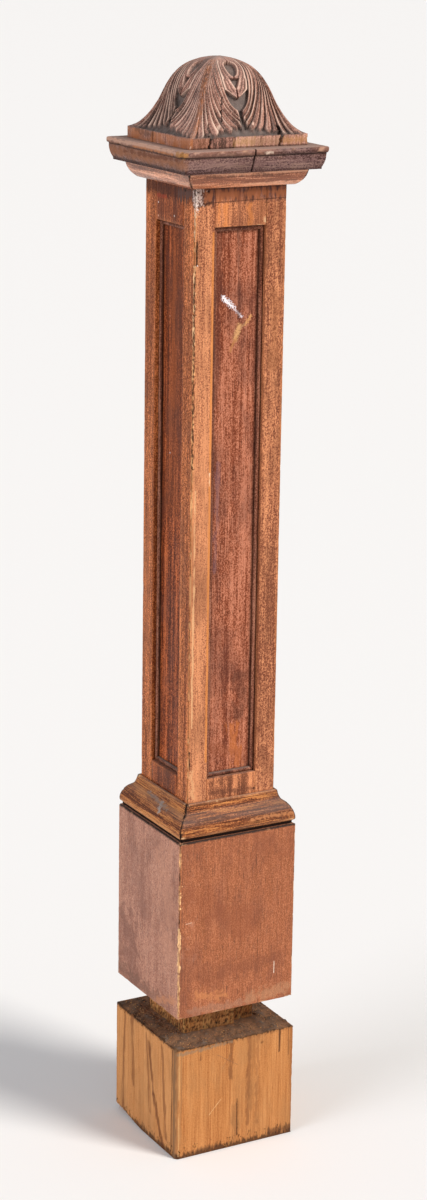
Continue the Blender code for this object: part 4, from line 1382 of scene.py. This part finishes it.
        # Darkness in the cut at a strand's edge: painted shade.
        cut_shade = np.maximum(1 - ramp(across, cut * 0.5, cut + 0.08), 0.5 * ramp(across, 0.9, 1.0))
        groove = np.where(in_fan, np.maximum(cut_shade, fine_cut), groove)
        crest = np.where(in_fan, np.exp(-(((across - cut - 0.14) / 0.11) ** 2)) * (number < len(cuts)), crest)
        fade = ramp(up, 0.0, 0.035) * (1 - ramp(up, 0.86, 0.94))
        depth = np.minimum(self.relief * fade * share, 0.62 * half * (1 - out))
        return depth, ground * ramp(up, 0.0, 0.03), groove * fade, crest * fade * (1 - past), number + across

    def _leaf(self, out: np.ndarray, cut: float, up: float, cut_depth: float):
        """How deep the upper leaf and the ground under it are sunk, its ground, grooves and crests."""
        if up <= self.leaf_point:
            return np.ones_like(out), np.ones_like(out), np.zeros_like(out), np.zeros_like(out)
        half = min((up - self.leaf_point) / self.leaf_slant, cut)
        beside = float(ramp(cut - half, 0.0, 0.04))
        ground = ramp(out, half - 0.01, half + 0.014) * beside
        rim = self._hollow_half(up)
        hollow = 1 - ramp(out, rim - 0.02, rim + 0.005) if rim else np.zeros_like(out)
        midrib = np.zeros_like(out) if rim else 0.7 * (1 - ramp(out, 0.0, 0.025))
        across = np.clip((out - rim) / max(half - rim, 0.016), 0, 1)
        lines = np.exp(-(((across - 0.36) / 0.06) ** 2)) + np.exp(-(((across - 0.7) / 0.06) ** 2))
        lines = lines * float(ramp(half, 0.1, 0.3))
        share = np.maximum.reduce([cut_depth * (0.9 * across**4 * (1 - beside) + 0.35 * lines), midrib, ground, hollow])
        groove = np.maximum(np.clip(lines * 0.75 + ramp(across, 0.9, 1.0) * (1 - beside), 0, 1), midrib)
        crest = np.exp(-(((across - 0.88) / 0.08) ** 2)) + 0.8 * np.exp(-(((across - 0.08) / 0.06) ** 2)) * (rim > 0)
        return share, np.maximum(ground, hollow), groove, crest * (1 - ground) * (1 - hollow)

    def _hollow_half(self, up: float) -> float:
        """Half-width of the leaf's hollow, or of the notch under it."""
        foot, top, half = self.hollow
        height = (up - foot) / (top - foot)
        if 0 < height < 1:
            return half * math.sqrt(height) * math.sqrt(1 - height**6)
        foot, top, half = self.notch
        height = (up - foot) / (top - foot)
        return half * height if 0 < height <= 1 else 0.0

    def build(self) -> None:
        """Builds the dome as one closed mesh and dresses it."""
        ups = np.concatenate([np.linspace(0, 0.9, self.rows - 16), np.linspace(0.9, 0.995, 17)[1:]])
        half, height, slope_out, slope_up = self.outline(ups)
        out_right = np.linspace(0, 1, self.columns // 2 + 1)
        signed = np.concatenate([-out_right[:0:-1], out_right[:-1]])
        rings, depths, grounds, grooves, crests, strands = [], [], [], [], [], []
        halves = [(self.cuts(side + 0.1), self.cuts(side + 0.6)) for side in range(4)]
        for row, up in enumerate(ups):
            ring, masks = [], []
            for turns, (left_cuts, right_cuts) in enumerate(halves):
                right = self.carved(right_cuts, out_right, up, half[row])
                left = self.carved(left_cuts, out_right, up, half[row])
                left = (*left[:4], -3.7 * turns - left[4])
                right = (*right[:4], 3.7 * turns + right[4])
                masks.append([np.concatenate([a[:0:-1], b[:-1]]) for a, b in zip(left, right)])
                depth = masks[-1][0]
                rounded = float(ramp(up, 0.0, self.square_foot))
                full = half[row] * (1 + self.face_fullness * rounded)
                drawn = self.ridge_rounding * rounded + self.crown_rounding * float(ramp(up, 0.72, 1.0))
                x = signed * full * (1 - drawn)
                y = -(full * (1 - drawn * np.abs(signed) ** 5) - depth * slope_out[row])
                z = self.foot + height[row] - depth * slope_up[row]
                ring.append(np.stack([x, y, z], 1) @ np.array(Matrix.Rotation(turns * math.pi / 2, 3, "Z")).T)
            rings.append(np.concatenate(ring))
            for whole, parts in zip((depths, grounds, grooves, crests, strands), zip(*masks)):
                whole.append(np.concatenate(parts))
        band = []
        for level in np.linspace(self.band_foot, self.foot, self.band_rows)[:-1]:
            ring = rings[0].copy()
            ring[:, 2] = level
            band.append(ring)
        blank = [np.zeros(len(rings[0]))] * len(band)
        mesh = loft("cap_dome", np.array(band + rings))
        sunk = np.concatenate(blank + depths + [np.zeros(2)]) / self.relief
        ground = np.concatenate(blank + grounds + [np.zeros(2)])
        groove = np.concatenate(blank + grooves + [np.zeros(2)])
        crest = np.concatenate(blank + crests + [np.zeros(2)])
        strand = np.concatenate(blank + strands + [np.zeros(2)])
        out = np.tile(np.abs(signed), 4)
        out = np.concatenate([out] * (len(band) + len(rings)) + [np.zeros(2)])
        level = np.repeat(np.concatenate([np.zeros(len(band)) - 1, ups]), len(rings[0]))
        level = np.concatenate([level, [-1, 1]])
        flow = roughness_at(np.stack([strand * 2.2, level * 3.0, 0 * level], 1), 1000, seed=3)
        self._dress(mesh, sunk, ground, groove, crest, flow, out, level)
        stand_for("carved_dome", mesh, CARVED_OAK.material(), ["cap_dome"])

    def _dress(
        self,
        mesh: bpy.types.Mesh,
        sunk: np.ndarray,
        ground: np.ndarray,
        groove: np.ndarray,
        crest: np.ndarray,
        flow: np.ndarray,
        out: np.ndarray,
        level: np.ndarray,
    ) -> None:
        """Splits, chips and paints the dome.

        Args:
            mesh: The dome's mesh.
            sunk: How deep each vertex is carved, as a share of the full depth.
            ground: How much each is ground.
            groove: How much each is a groove.
            crest: How much each is a crest.
            flow: Noise that runs along the carving's strands.
            out: The share of the way to the ridge.
            level: The share of the way up, below 0 on the band.
        """
        places = vertex_array(mesh)
        normals = np.array([v.normal for v in mesh.vertices])
        in_band = level < 0
        front = places[:, 1] < -self.half + 0.004
        left = places[:, 0] < -self.half + 0.004
        fine = roughness_at(places, 3.0, seed=4)
        lumps = roughness_at(places, 11.0, seed=5)
        stipple = roughness_at(places, 1.7, seed=9)
        worked = fine * 0.08 + lumps * 0.2 + stipple * ground * 0.3 + 0.25 * flow
        grain = roughness_at(places, 1.9, (1, 1, 12), seed=24)
        tone = np.where(in_band, 0.2 * lumps, 0.7 * roughness_at(places, 24, seed=14) + 2.2 * flow - 0.2)
        crack = np.zeros(len(places))
        on_front = -places[:, 1] > np.abs(places[:, 0])
        for place, wide, deep, low, top in self.cracks:
            wander = 0.0006 * np.sin(places[:, 2] * 900 + place * 40)
            away = np.abs(places[:, 0] - place * MM - wander - (places[:, 2] - self.foot) * 0.25)
            reach = 1 - ramp(places[:, 2], top * MM - 0.003, top * MM + 0.001)
            reach *= ramp(places[:, 2], low * MM, low * MM + 0.003)
            crack += on_front * (1 - ramp(away, wide * MM * 0.35, wide * MM * 0.95)) * reach * deep
        away = np.abs(places[:, 1] - 0.015)
        crack += left * in_band * (1 - ramp(away, 0.0004, 0.0012)) * 0.8
        for (low, high), value in self.staves:
            inside = front & in_band & (places[:, 0] > low * MM) & (places[:, 0] < high * MM)
            tone = np.where(inside, value + 0.2 * lumps, tone)
        tone = np.where(left & in_band, np.where(places[:, 1] < 0.015, 0.5, -0.2) + 0.3 * lumps, tone)
        tone += in_band * 1.8 * grain
        arris = in_band * ramp(out, 0.955, 0.995) + in_band * (1 - ramp(np.abs(places[:, 2] - self.foot), 0.0, 0.0015))
        chips = arris * ramp(lumps + 0.6 * fine, 0.1, 0.4)
        for side, (x, up) in self.lost:
            across = {"front": places[:, 0], "left": -places[:, 1]}[side]
            facing = {"front": -places[:, 1], "left": -places[:, 0]}[side]
            half = np.interp(level, np.linspace(0, 1, 60), self.outline(np.linspace(0, 1, 60))[0])
            spot = np.hypot(across / half - x, (level - up) * 1.3)
            chips = np.maximum(chips, (facing > half * 0.9) * (1 - ramp(spot, 0.018, 0.04)) * (~in_band))
        push = worked - 0.8 * chips - 3.5 * crack
        mesh.vertices.foreach_set("co", (places + normals * (push * MM)[:, None]).ravel())
        on_side = (1 - ramp(level, 0.78, 0.9)) * (~in_band)
        half = np.interp(level, np.linspace(0, 1, 60), self.outline(np.linspace(0, 1, 60))[0])
        ridge = (1 - ramp(half * (1 - out), 0.0032, 0.0065)) * on_side
        near_foot = (1 - ramp(level, 0.02, 0.11)) * (~in_band) * (1 - ridge)
        # Grooves, the sunk ground and deeper carving are darkened as painted shade. The ground also takes grime, and
        # the foot is darker.
        shade_and_grime = np.clip(np.maximum(groove * 1.05, ground * 0.7), 0, 0.92) + 0.3 * near_foot + 0.1 * sunk
        paint(mesh, "piece", 0.3)
        paint(mesh, "grime_and_shade", np.clip(shade_and_grime * on_side + crack * 1.5, 0, 0.95))
        dust_and_sheen = np.maximum(ground * 0.55, 0.4 * near_foot) * (0.75 + 0.5 * roughness_at(places, 5, seed=8))
        # Lighter towards the crown, with pale dust there: dust with a painted sheen from above.
        tone += 1.0 * ramp(level, 0.7, 0.92)
        crown = 0.75 * ramp(level, 0.82, 0.93) * (0.8 + roughness_at(places, 7, seed=18))
        paint(mesh, "dust_and_sheen", np.clip(np.maximum(dust_and_sheen, crown), 0, 0.85) * (~in_band))
        reddish = in_band * (left * (0.55 + lumps) + front * (places[:, 0] < -0.054) * 0.25)
        at_front_left = np.where((places[:, 0] < 0) & (places[:, 1] < 0), 1.0, 0.3)
        worn_ridge = ridge * at_front_left * (0.4 + 2.0 * grain + 0.7 * lumps)
        paint(mesh, "rub", np.clip(worn_ridge + reddish, 0, 0.85))
        paint(mesh, "tone", tone + 0.5 * ridge)
        flecks = 0.8 * ground * on_side * ramp(stipple + 0.4 * fine, 0.32, 0.5)
        # Pale lines along the crests: painted highlights with some wear.
        pale = crest * (0.75 + 1.8 * flow + 0.6 * lumps) * (1 - 0.7 * ridge) * on_side + flecks
        paint(mesh, "wear_and_highlight", np.clip(pale + chips, 0, 0.95))
        shade(mesh, 55)


@dataclass
class Cornice:
    """The thick slab under the dome, with a rounded lip and a full edge."""

    half: float = 0.1044
    foot: float = 1.3399
    height: float = 0.029
    stations: int = 110
    crack: float = -0.0014
    crack_depth: float = 0.007
    knot: tuple[float, float, float] = (-0.1044, -0.1, 1.3665)

    def profile(self) -> np.ndarray:
        """The slab's section from the middle of its underside out and over to its top.

        Returns:
            Points of (half-width, height), in metres.
        """
        top = self.foot + self.height
        body = self.half - 0.0022
        foot_half = self.half - 0.0065
        edge = bezier(
            ((foot_half, self.foot + 0.0025), (body, self.foot + self.height * 0.35), (body, top - 0.008)),
            np.linspace(0, 1, 12),
        )
        lip = bezier(
            ((self.half, top - 0.0025), (self.half, top), (self.half - 0.0025, top)), np.linspace(0, 1, 5)
        )
        return np.array(
            [(0.05, self.foot), (foot_half - 0.004, self.foot), (foot_half, self.foot), *edge]
            + [(self.half - 0.0004, top - 0.008), (self.half, top - 0.0074), (self.half, top - 0.005), *lip]
            + [(self.half - 0.006, top), (self.half - 0.012, top), (0.07, top)]
        )

    def build(self) -> None:
        """Builds the slab, with its split and chipped lip, and dresses it."""
        along = np.linspace(-1, 1, self.stations + 1)[:-1]
        crack = np.linspace(-0.008, 0.002, 22) / self.half
        along = np.unique(np.concatenate([along, crack]))
        rings = []
        for half, level in self.profile():
            ring = []
            for turns in range(4):
                side = np.stack([along * half, np.full(len(along), -half), np.full(len(along), level)], 1)
                if turns == 0:
                    middle = self.crack - 0.1 * (self.foot + self.height - level)
                    split = np.exp(-(((side[:, 0] - middle) / 0.0007) ** 2))
                    side[:, 1] += split * self.crack_depth * (half > 0.09)
                ring.append(side @ np.array(Matrix.Rotation(turns * math.pi / 2, 3, "Z")).T)
            rings.append(np.concatenate(ring))
        mesh = loft("cap_cornice", np.array(rings))
        places = vertex_array(mesh)
        normals = np.array([v.normal for v in mesh.vertices])
        lip = ramp(np.abs(places[:, :2]).max(1), 0.1015, 0.1038)
        corner = ramp(np.abs(places[:, :2]).min(1), 0.085, 0.1) * lip
        lumps = roughness_at(places, 8, (1.6, 1.6, 1), seed=6)
        chips = lip * ramp(lumps + 0.3 * corner, 0.26, 0.55)
        uneven = roughness_at(places, 30, seed=2) * 0.35 + roughness_at(places, 3, seed=3) * 0.15
        knot = 1 - ramp(np.linalg.norm(places - self.knot, axis=1), 0.002, 0.006)
        depth = (1.6 * chips + uneven * ramp(places[:, 2], self.foot, self.foot + 0.002) + 1.8 * knot) * MM
        mesh.vertices.foreach_set("co", (places - normals * depth[:, None]).ravel())
        below = self.foot + self.height - places[:, 2]
        # Darker in the quirk under the lip as painted shade, and darker at the foot and in the split.
        step = (1 - ramp(np.abs(below - 0.008), 0.0004, 0.0022)) * ramp(np.abs(places[:, :2]).max(1), 0.099, 0.1015)
        foot = 1 - ramp(places[:, 2], self.foot, self.foot + 0.005)
        split = (1 - ramp(np.abs(places[:, 0] - self.crack + 0.1 * below), 0.0004, 0.0014)) * (places[:, 1] < -0.09)
        paint(mesh, "piece", 0.7)
        paint(mesh, "tone", 0.4 * roughness_at(places, 40, seed=12))
        paint(mesh, "rub", np.clip(lip * (0.35 + 0.8 * roughness_at(places, 16, (3, 3, 1), 7)), 0, 0.8))
        paint(mesh, "grime_and_shade", np.clip(0.6 * step + 0.35 * foot + 0.9 * split, 0, 0.9))
        paint(mesh, "wear_and_highlight", chips * 0.7)
        shade(mesh, 40)
        stand_for("worn_cornice", mesh, DARK_CORNICE.material(), ["cap_cornice"])


@dataclass
class FootBlock:
    """The bare pine block with its shouldered neck, left rough from the saw and the chisel."""

    half: float = 0.0914
    height: float = 0.161
    neck_half: float = 0.0565
    neck_front: float = 0.0459
    rebate_width: float = 0.0327
    rebate_depth: float = 0.0079
    neck_height: float = 0.0448
    tenon_half: float = 0.0438
    tenon_height: float = 0.115
    chamfer: float = 0.004
    spacing: float = 0.0025
    torn_corner: float = 0.009

    def ring(self, corners: Sequence[Sequence[tuple[float, float]]], level: float, per_side: int) -> np.ndarray:
        """One level's outline, each side drawn with the same number of points.

        Args:
            corners: For each side, the line that it follows.
            level: The height of the ring.
            per_side: How many points a side gets.

        Returns:
            The points, one in each row.
        """
        points = []
        for line in corners:
            line = np.array(line, float)
            runs = np.concatenate([[0], np.cumsum(np.hypot(*np.diff(line, axis=0).T))])
            shares = np.linspace(0, runs[-1], per_side + 1)[:-1]
            points += list(zip(np.interp(shares, runs, line[:, 0]), np.interp(shares, runs, line[:, 1])))
        return np.array([(x, y, level) for x, y in points])

    def build(self) -> None:
        """Builds the block, its neck and its hidden tenon as one closed mesh, and dresses it."""
        h, c = self.half, self.chamfer
        block = (
            ((-h, -h + c), (-h + c, -h), (h, -h)),
            ((h, -h), (h, h)),
            ((h, h), (-h + c, h)),
            ((-h + c, h), (-h, h - c), (-h, -h + c)),
        )
        n, f, w = self.neck_half, self.neck_front, self.rebate_width
        step = f - self.rebate_depth
        neck = (
            ((-n, -f), (n - w, -f), (n - w, -step), (n, -step)),
            ((n, -step), (n, n)),
            ((n, n), (-n, n)),
            ((-n, n), (-n, -f)),
        )
        t = self.tenon_half
        tenon = (((-t, -step), (t, -step)), ((t, -step), (t, t)), ((t, t), (-t, t)), ((-t, t), (-t, -step)))
        count = round(2 * h / self.spacing)
        rings = [self.ring(block, level, count) for level in np.linspace(0, self.height, 60)]
        lower, upper = self.ring(block, self.height, count), self.ring(neck, self.height, count)
        rings += [lower + (upper - lower) * share for share in np.linspace(0.03, 1, 18)]
        top = self.height + self.neck_height
        rings += [self.ring(neck, level, count) for level in np.linspace(self.height, top, 26)[1:]]
        rings += [self.ring(tenon, level, count) for level in (top, top + self.tenon_height)]
        mesh = loft("foot_block", np.array(rings))
        self._dress(mesh, top)
        material = PINE.material()
        stand_for("sawn_foot_block", mesh, material, ["foot_block"])
        self._strew(mesh, top)

    def _dress(self, mesh: bpy.types.Mesh, top: float) -> None:
        """Roughens, splits and paints the block.

        Args:
            mesh: The block's mesh.
            top: The height of the neck's head.
        """
        places = vertex_array(mesh)
        normals = np.array([v.normal for v in mesh.vertices])
        reach = np.abs(places[:, :2]).max(1)
        across = np.abs(places[:, :2]).min(1)
        on_block = 1 - ramp(places[:, 2], self.height - 0.001, self.height)
        on_top = (np.abs(places[:, 2] - self.height) < 0.0015) * (1 - ramp(reach, self.half - 0.001, self.half))
        on_neck = ramp(places[:, 2], self.height, self.height + 0.003) * (places[:, 2] < top - 0.001)
        fibres = roughness_at(places, 2.2, (1, 1, 14), seed=1)
        lumps = roughness_at(places, 14, seed=2)
        rough = roughness_at(places, 3.5, seed=3)
        arris = ramp(across, self.half - 0.006, self.half - 0.001) * on_block
        brim = ramp(places[:, 2], self.height - 0.005, self.height - 0.0005) * on_block
        foot = 1 - ramp(places[:, 2], 0.002, 0.008)
        push = on_block * (0.1 * fibres + 0.25 * lumps) + on_top * (0.9 * lumps + 0.8 * rough - 0.7)
        push -= arris * (0.7 * ramp(lumps, -0.1, 0.5) + 0.3)
        push -= brim * (0.9 * ramp(rough + lumps, -0.2, 0.6) + 0.2)
        push -= foot * on_block * 1.1 * ramp(fibres + 0.5 * rough, 0.0, 0.6)
        push += on_neck * (1.0 * fibres + 0.6 * rough - 0.5)
        push *= (places[:, 2] > 0.0005) & (places[:, 2] < top + 0.0005)
        crack = (np.abs(places[:, 0] - 0.0045) < 0.0013) & (places[:, 1] < -self.half + 0.001)
        crack = crack * ramp(places[:, 2], 0.012, 0.02) * (1 - ramp(places[:, 2], 0.06, 0.072))
        moved = places + normals * (push * MM)[:, None]
        moved[:, 1] += crack * 0.0012
        lift = on_top * (0.0022 * ramp(lumps, -0.2, 0.7) + 0.0012 * rough)
        behind = np.hypot(places[:, 0] + 0.07, places[:, 1] - 0.06)
        torn = self.torn_corner * ramp(places[:, 1], 0.0, 0.09) * ramp(-places[:, 0], 0.04, 0.09)
        moved[:, 2] += torn * (1 + 0.25 * fibres + 0.2 * rough) * (1 - ramp(places[:, 2], 0.0, 0.03))
        moved[:, 2] += lift + on_top * 0.003 * (1 - ramp(behind, 0.004, 0.02))
        mesh.vertices.foreach_set("co", moved.ravel())
        set_back = (places[:, 1] > -self.neck_front + 0.002) & (places[:, 1] < 0)
        paint(mesh, "piece", 0.0)
        speckle = roughness_at(places, 2.4, (1, 1, 1.6), seed=33)
        on_left = (places[:, 0] < -self.half + 0.003) * on_block
        tone = 0.35 * roughness_at(places, 60, seed=21) + 1.5 * on_left
        paint(mesh, "tone", tone + on_neck * (2.5 * speckle + 0.4 - 1.6 * set_back))
        soot = on_top * np.clip(0.72 + 0.35 * rough + 0.3 * lumps, 0.3, 0.92)
        low_neck = on_neck * (1 - ramp(places[:, 2], self.height, self.height + 0.012)) * 0.6
        low_neck += on_neck * ramp(-speckle, 0.12, 0.4) * 0.75
        paint(mesh, "grime_and_shade", np.clip(np.maximum(soot, low_neck) + 0.5 * brim * ramp(rough, 0, 0.4), 0, 0.92))
        paint(mesh, "dust_and_sheen", np.clip(on_top * ramp(lumps + rough, 0.1, 0.8) * 0.5, 0, 1))
        paint(mesh, "wear_and_highlight", np.clip(on_neck * ramp(fibres, 0.05, 0.45) * 0.75, 0, 1))
        paint(mesh, "rub", np.clip(arris * 0.5 + brim * 0.4, 0, 0.7))
        shade(mesh, 40)

    def _strew(self, mesh: bpy.types.Mesh, top: float) -> None:
        """Adds the torn fibres at the foot and the neck, and the crumbs on the ledge.

        Args:
            mesh: The block's finished mesh.
            top: The height of the neck's head.
        """
        places = vertex_array(mesh)
        reach = np.abs(places[:, :2]).max(1)
        ledge = (np.abs(places[:, 2] - self.height) < 0.006) & (reach < self.half - 0.003) & (reach > 0.057)
        around_foot = (places[:, 2] > 0.003) & (places[:, 2] < 0.02) & (reach > self.half - 0.003)
        around_neck = (places[:, 2] > self.height + 0.002) & (places[:, 2] < top - 0.004) & (reach < 0.06)
        brim = (places[:, 2] > self.height - 0.007) & (places[:, 2] < self.height - 0.001) & (reach > 0.088)
        torn, grit = TORN_PINE.material(), PINE.material()
        down, up = ((2.85, -0.3, 0), (3.45, 0.3, 6.28)), ((-0.3, -0.3, 0), (0.3, 0.3, 6.28))
        kinds = (
            (Strewn("foot_splinters", Bit.SPLINTER, 26000, 2.5, 7.0, (0.22, 0.22, 1.0), *down, 11), around_foot, torn),
            (Strewn("neck_fibres", Bit.SPLINTER, 42000, 2.5, 8.0, (0.2, 0.2, 1.0), *up, 12), around_neck, torn),
            (Strewn("brim_splinters", Bit.SPLINTER, 22000, 2.0, 5.0, (0.25, 0.25, 1.0), *up, 13), brim, torn),
            (Strewn("ledge_crumbs", Bit.CRUMB, 30000, 0.8, 3.4, (1, 0.8, 0.6), (0, 0, 0), (0.5, 0.5, 6.28), 14), ledge, torn),
            (Strewn("ledge_grit", Bit.CRUMB, 9000, 0.8, 2.4, (1, 0.8, 0.6), (0, 0, 0), (0.5, 0.5, 6.28), 15), ledge, grit),
        )
        for bits, where, material in kinds:
            stand_for(bits.name, bits.mesh(patch(mesh, where), material), material)


@dataclass
class Studio:
    """A plain pale floor, soft lights and the camera."""

    camera_place: tuple[float, float, float] = (-1.67312, -3.00037, 1.72669)
    yaw: float = -0.51017
    pitch: float = 0.27393
    roll: float = 0.01546
    lens: float = 80.16

    def build(self) -> None:
        """Adds the floor, lights, surroundings and camera."""
        bpy.ops.mesh.primitive_circle_add(vertices=96, radius=30, fill_type="NGON", location=(0, 0, -0.0005))
        floor = bpy.context.object
        floor.name = "studio_floor"
        paper = bpy.data.materials.new("Matt paper floor")
        paper.use_nodes = True
        shader = paper.node_tree.nodes["Principled BSDF"]
        shader.inputs["Base Color"].default_value = linear("#f1f0ee")
        shader.inputs["Roughness"].default_value = 0.9
        floor.data.materials.append(paper)
        world = bpy.data.worlds.new("Studio")
        world.use_nodes = True
        world.node_tree.nodes["Background"].inputs["Color"].default_value = linear("#f6f7fa")
        world.node_tree.nodes["Background"].inputs["Strength"].default_value = 0.38
        bpy.context.scene.world = world
        bpy.context.scene.view_settings.view_transform = "Standard"
        self.light("Large window", (0.4, -0.66, 0.63), 2.75, 20, "#fffbf6")
        self.light("Side window", (-0.85, -0.15, 0.5), 1.25, 35, "#f6f7ff")
        self.camera()

    def light(self, name: str, towards: tuple[float, float, float], strength: float, degrees: float, tint: str) -> None:
        """A soft light that is far away, as a large window is.

        Args:
            name: The light's name.
            towards: The direction that it lies in.
            strength: Its irradiance.
            degrees: How wide it looks from the post.
            tint: Its sRGB colour.
        """
        data = bpy.data.lights.new(name, "SUN")
        data.energy, data.angle, data.color = strength, math.radians(degrees), linear(tint)[:3]
        lamp = bpy.data.objects.new(name, data)
        lamp.rotation_euler = Vector(towards).to_track_quat("Z", "Y").to_euler()
        bpy.context.scene.collection.objects.link(lamp)

    def camera(self) -> None:
        """Places the camera where the photograph was taken from."""
        level = Vector((math.cos(self.yaw), math.sin(self.yaw), 0))
        ahead = Vector(
            (
                -math.sin(self.yaw) * math.cos(self.pitch),
                math.cos(self.yaw) * math.cos(self.pitch),
                -math.sin(self.pitch),
            )
        )
        upright = level.cross(ahead)
        right = math.cos(self.roll) * level + math.sin(self.roll) * upright
        up = math.cos(self.roll) * upright - math.sin(self.roll) * level
        data = bpy.data.cameras.new("Camera")
        data.lens, data.sensor_width, data.sensor_fit = self.lens, 36, "AUTO"
        camera = bpy.data.objects.new("Camera", data)
        turned = Matrix((right, up, -ahead)).transposed().to_4x4()
        camera.matrix_world = Matrix.Translation(self.camera_place) @ turned
        bpy.context.scene.collection.objects.link(camera)
        bpy.context.scene.camera = camera


def main() -> None:
    """Builds the post's parts in order, then the studio."""
    logging.basicConfig(level=logging.INFO, format="%(message)s")
    Shaft().build()
    PlinthAndMoulds().build()
    CarvedDome().build()
    Cornice().build()
    FootBlock().build()
    Studio().build()


if __name__ == "__main__":
    main()
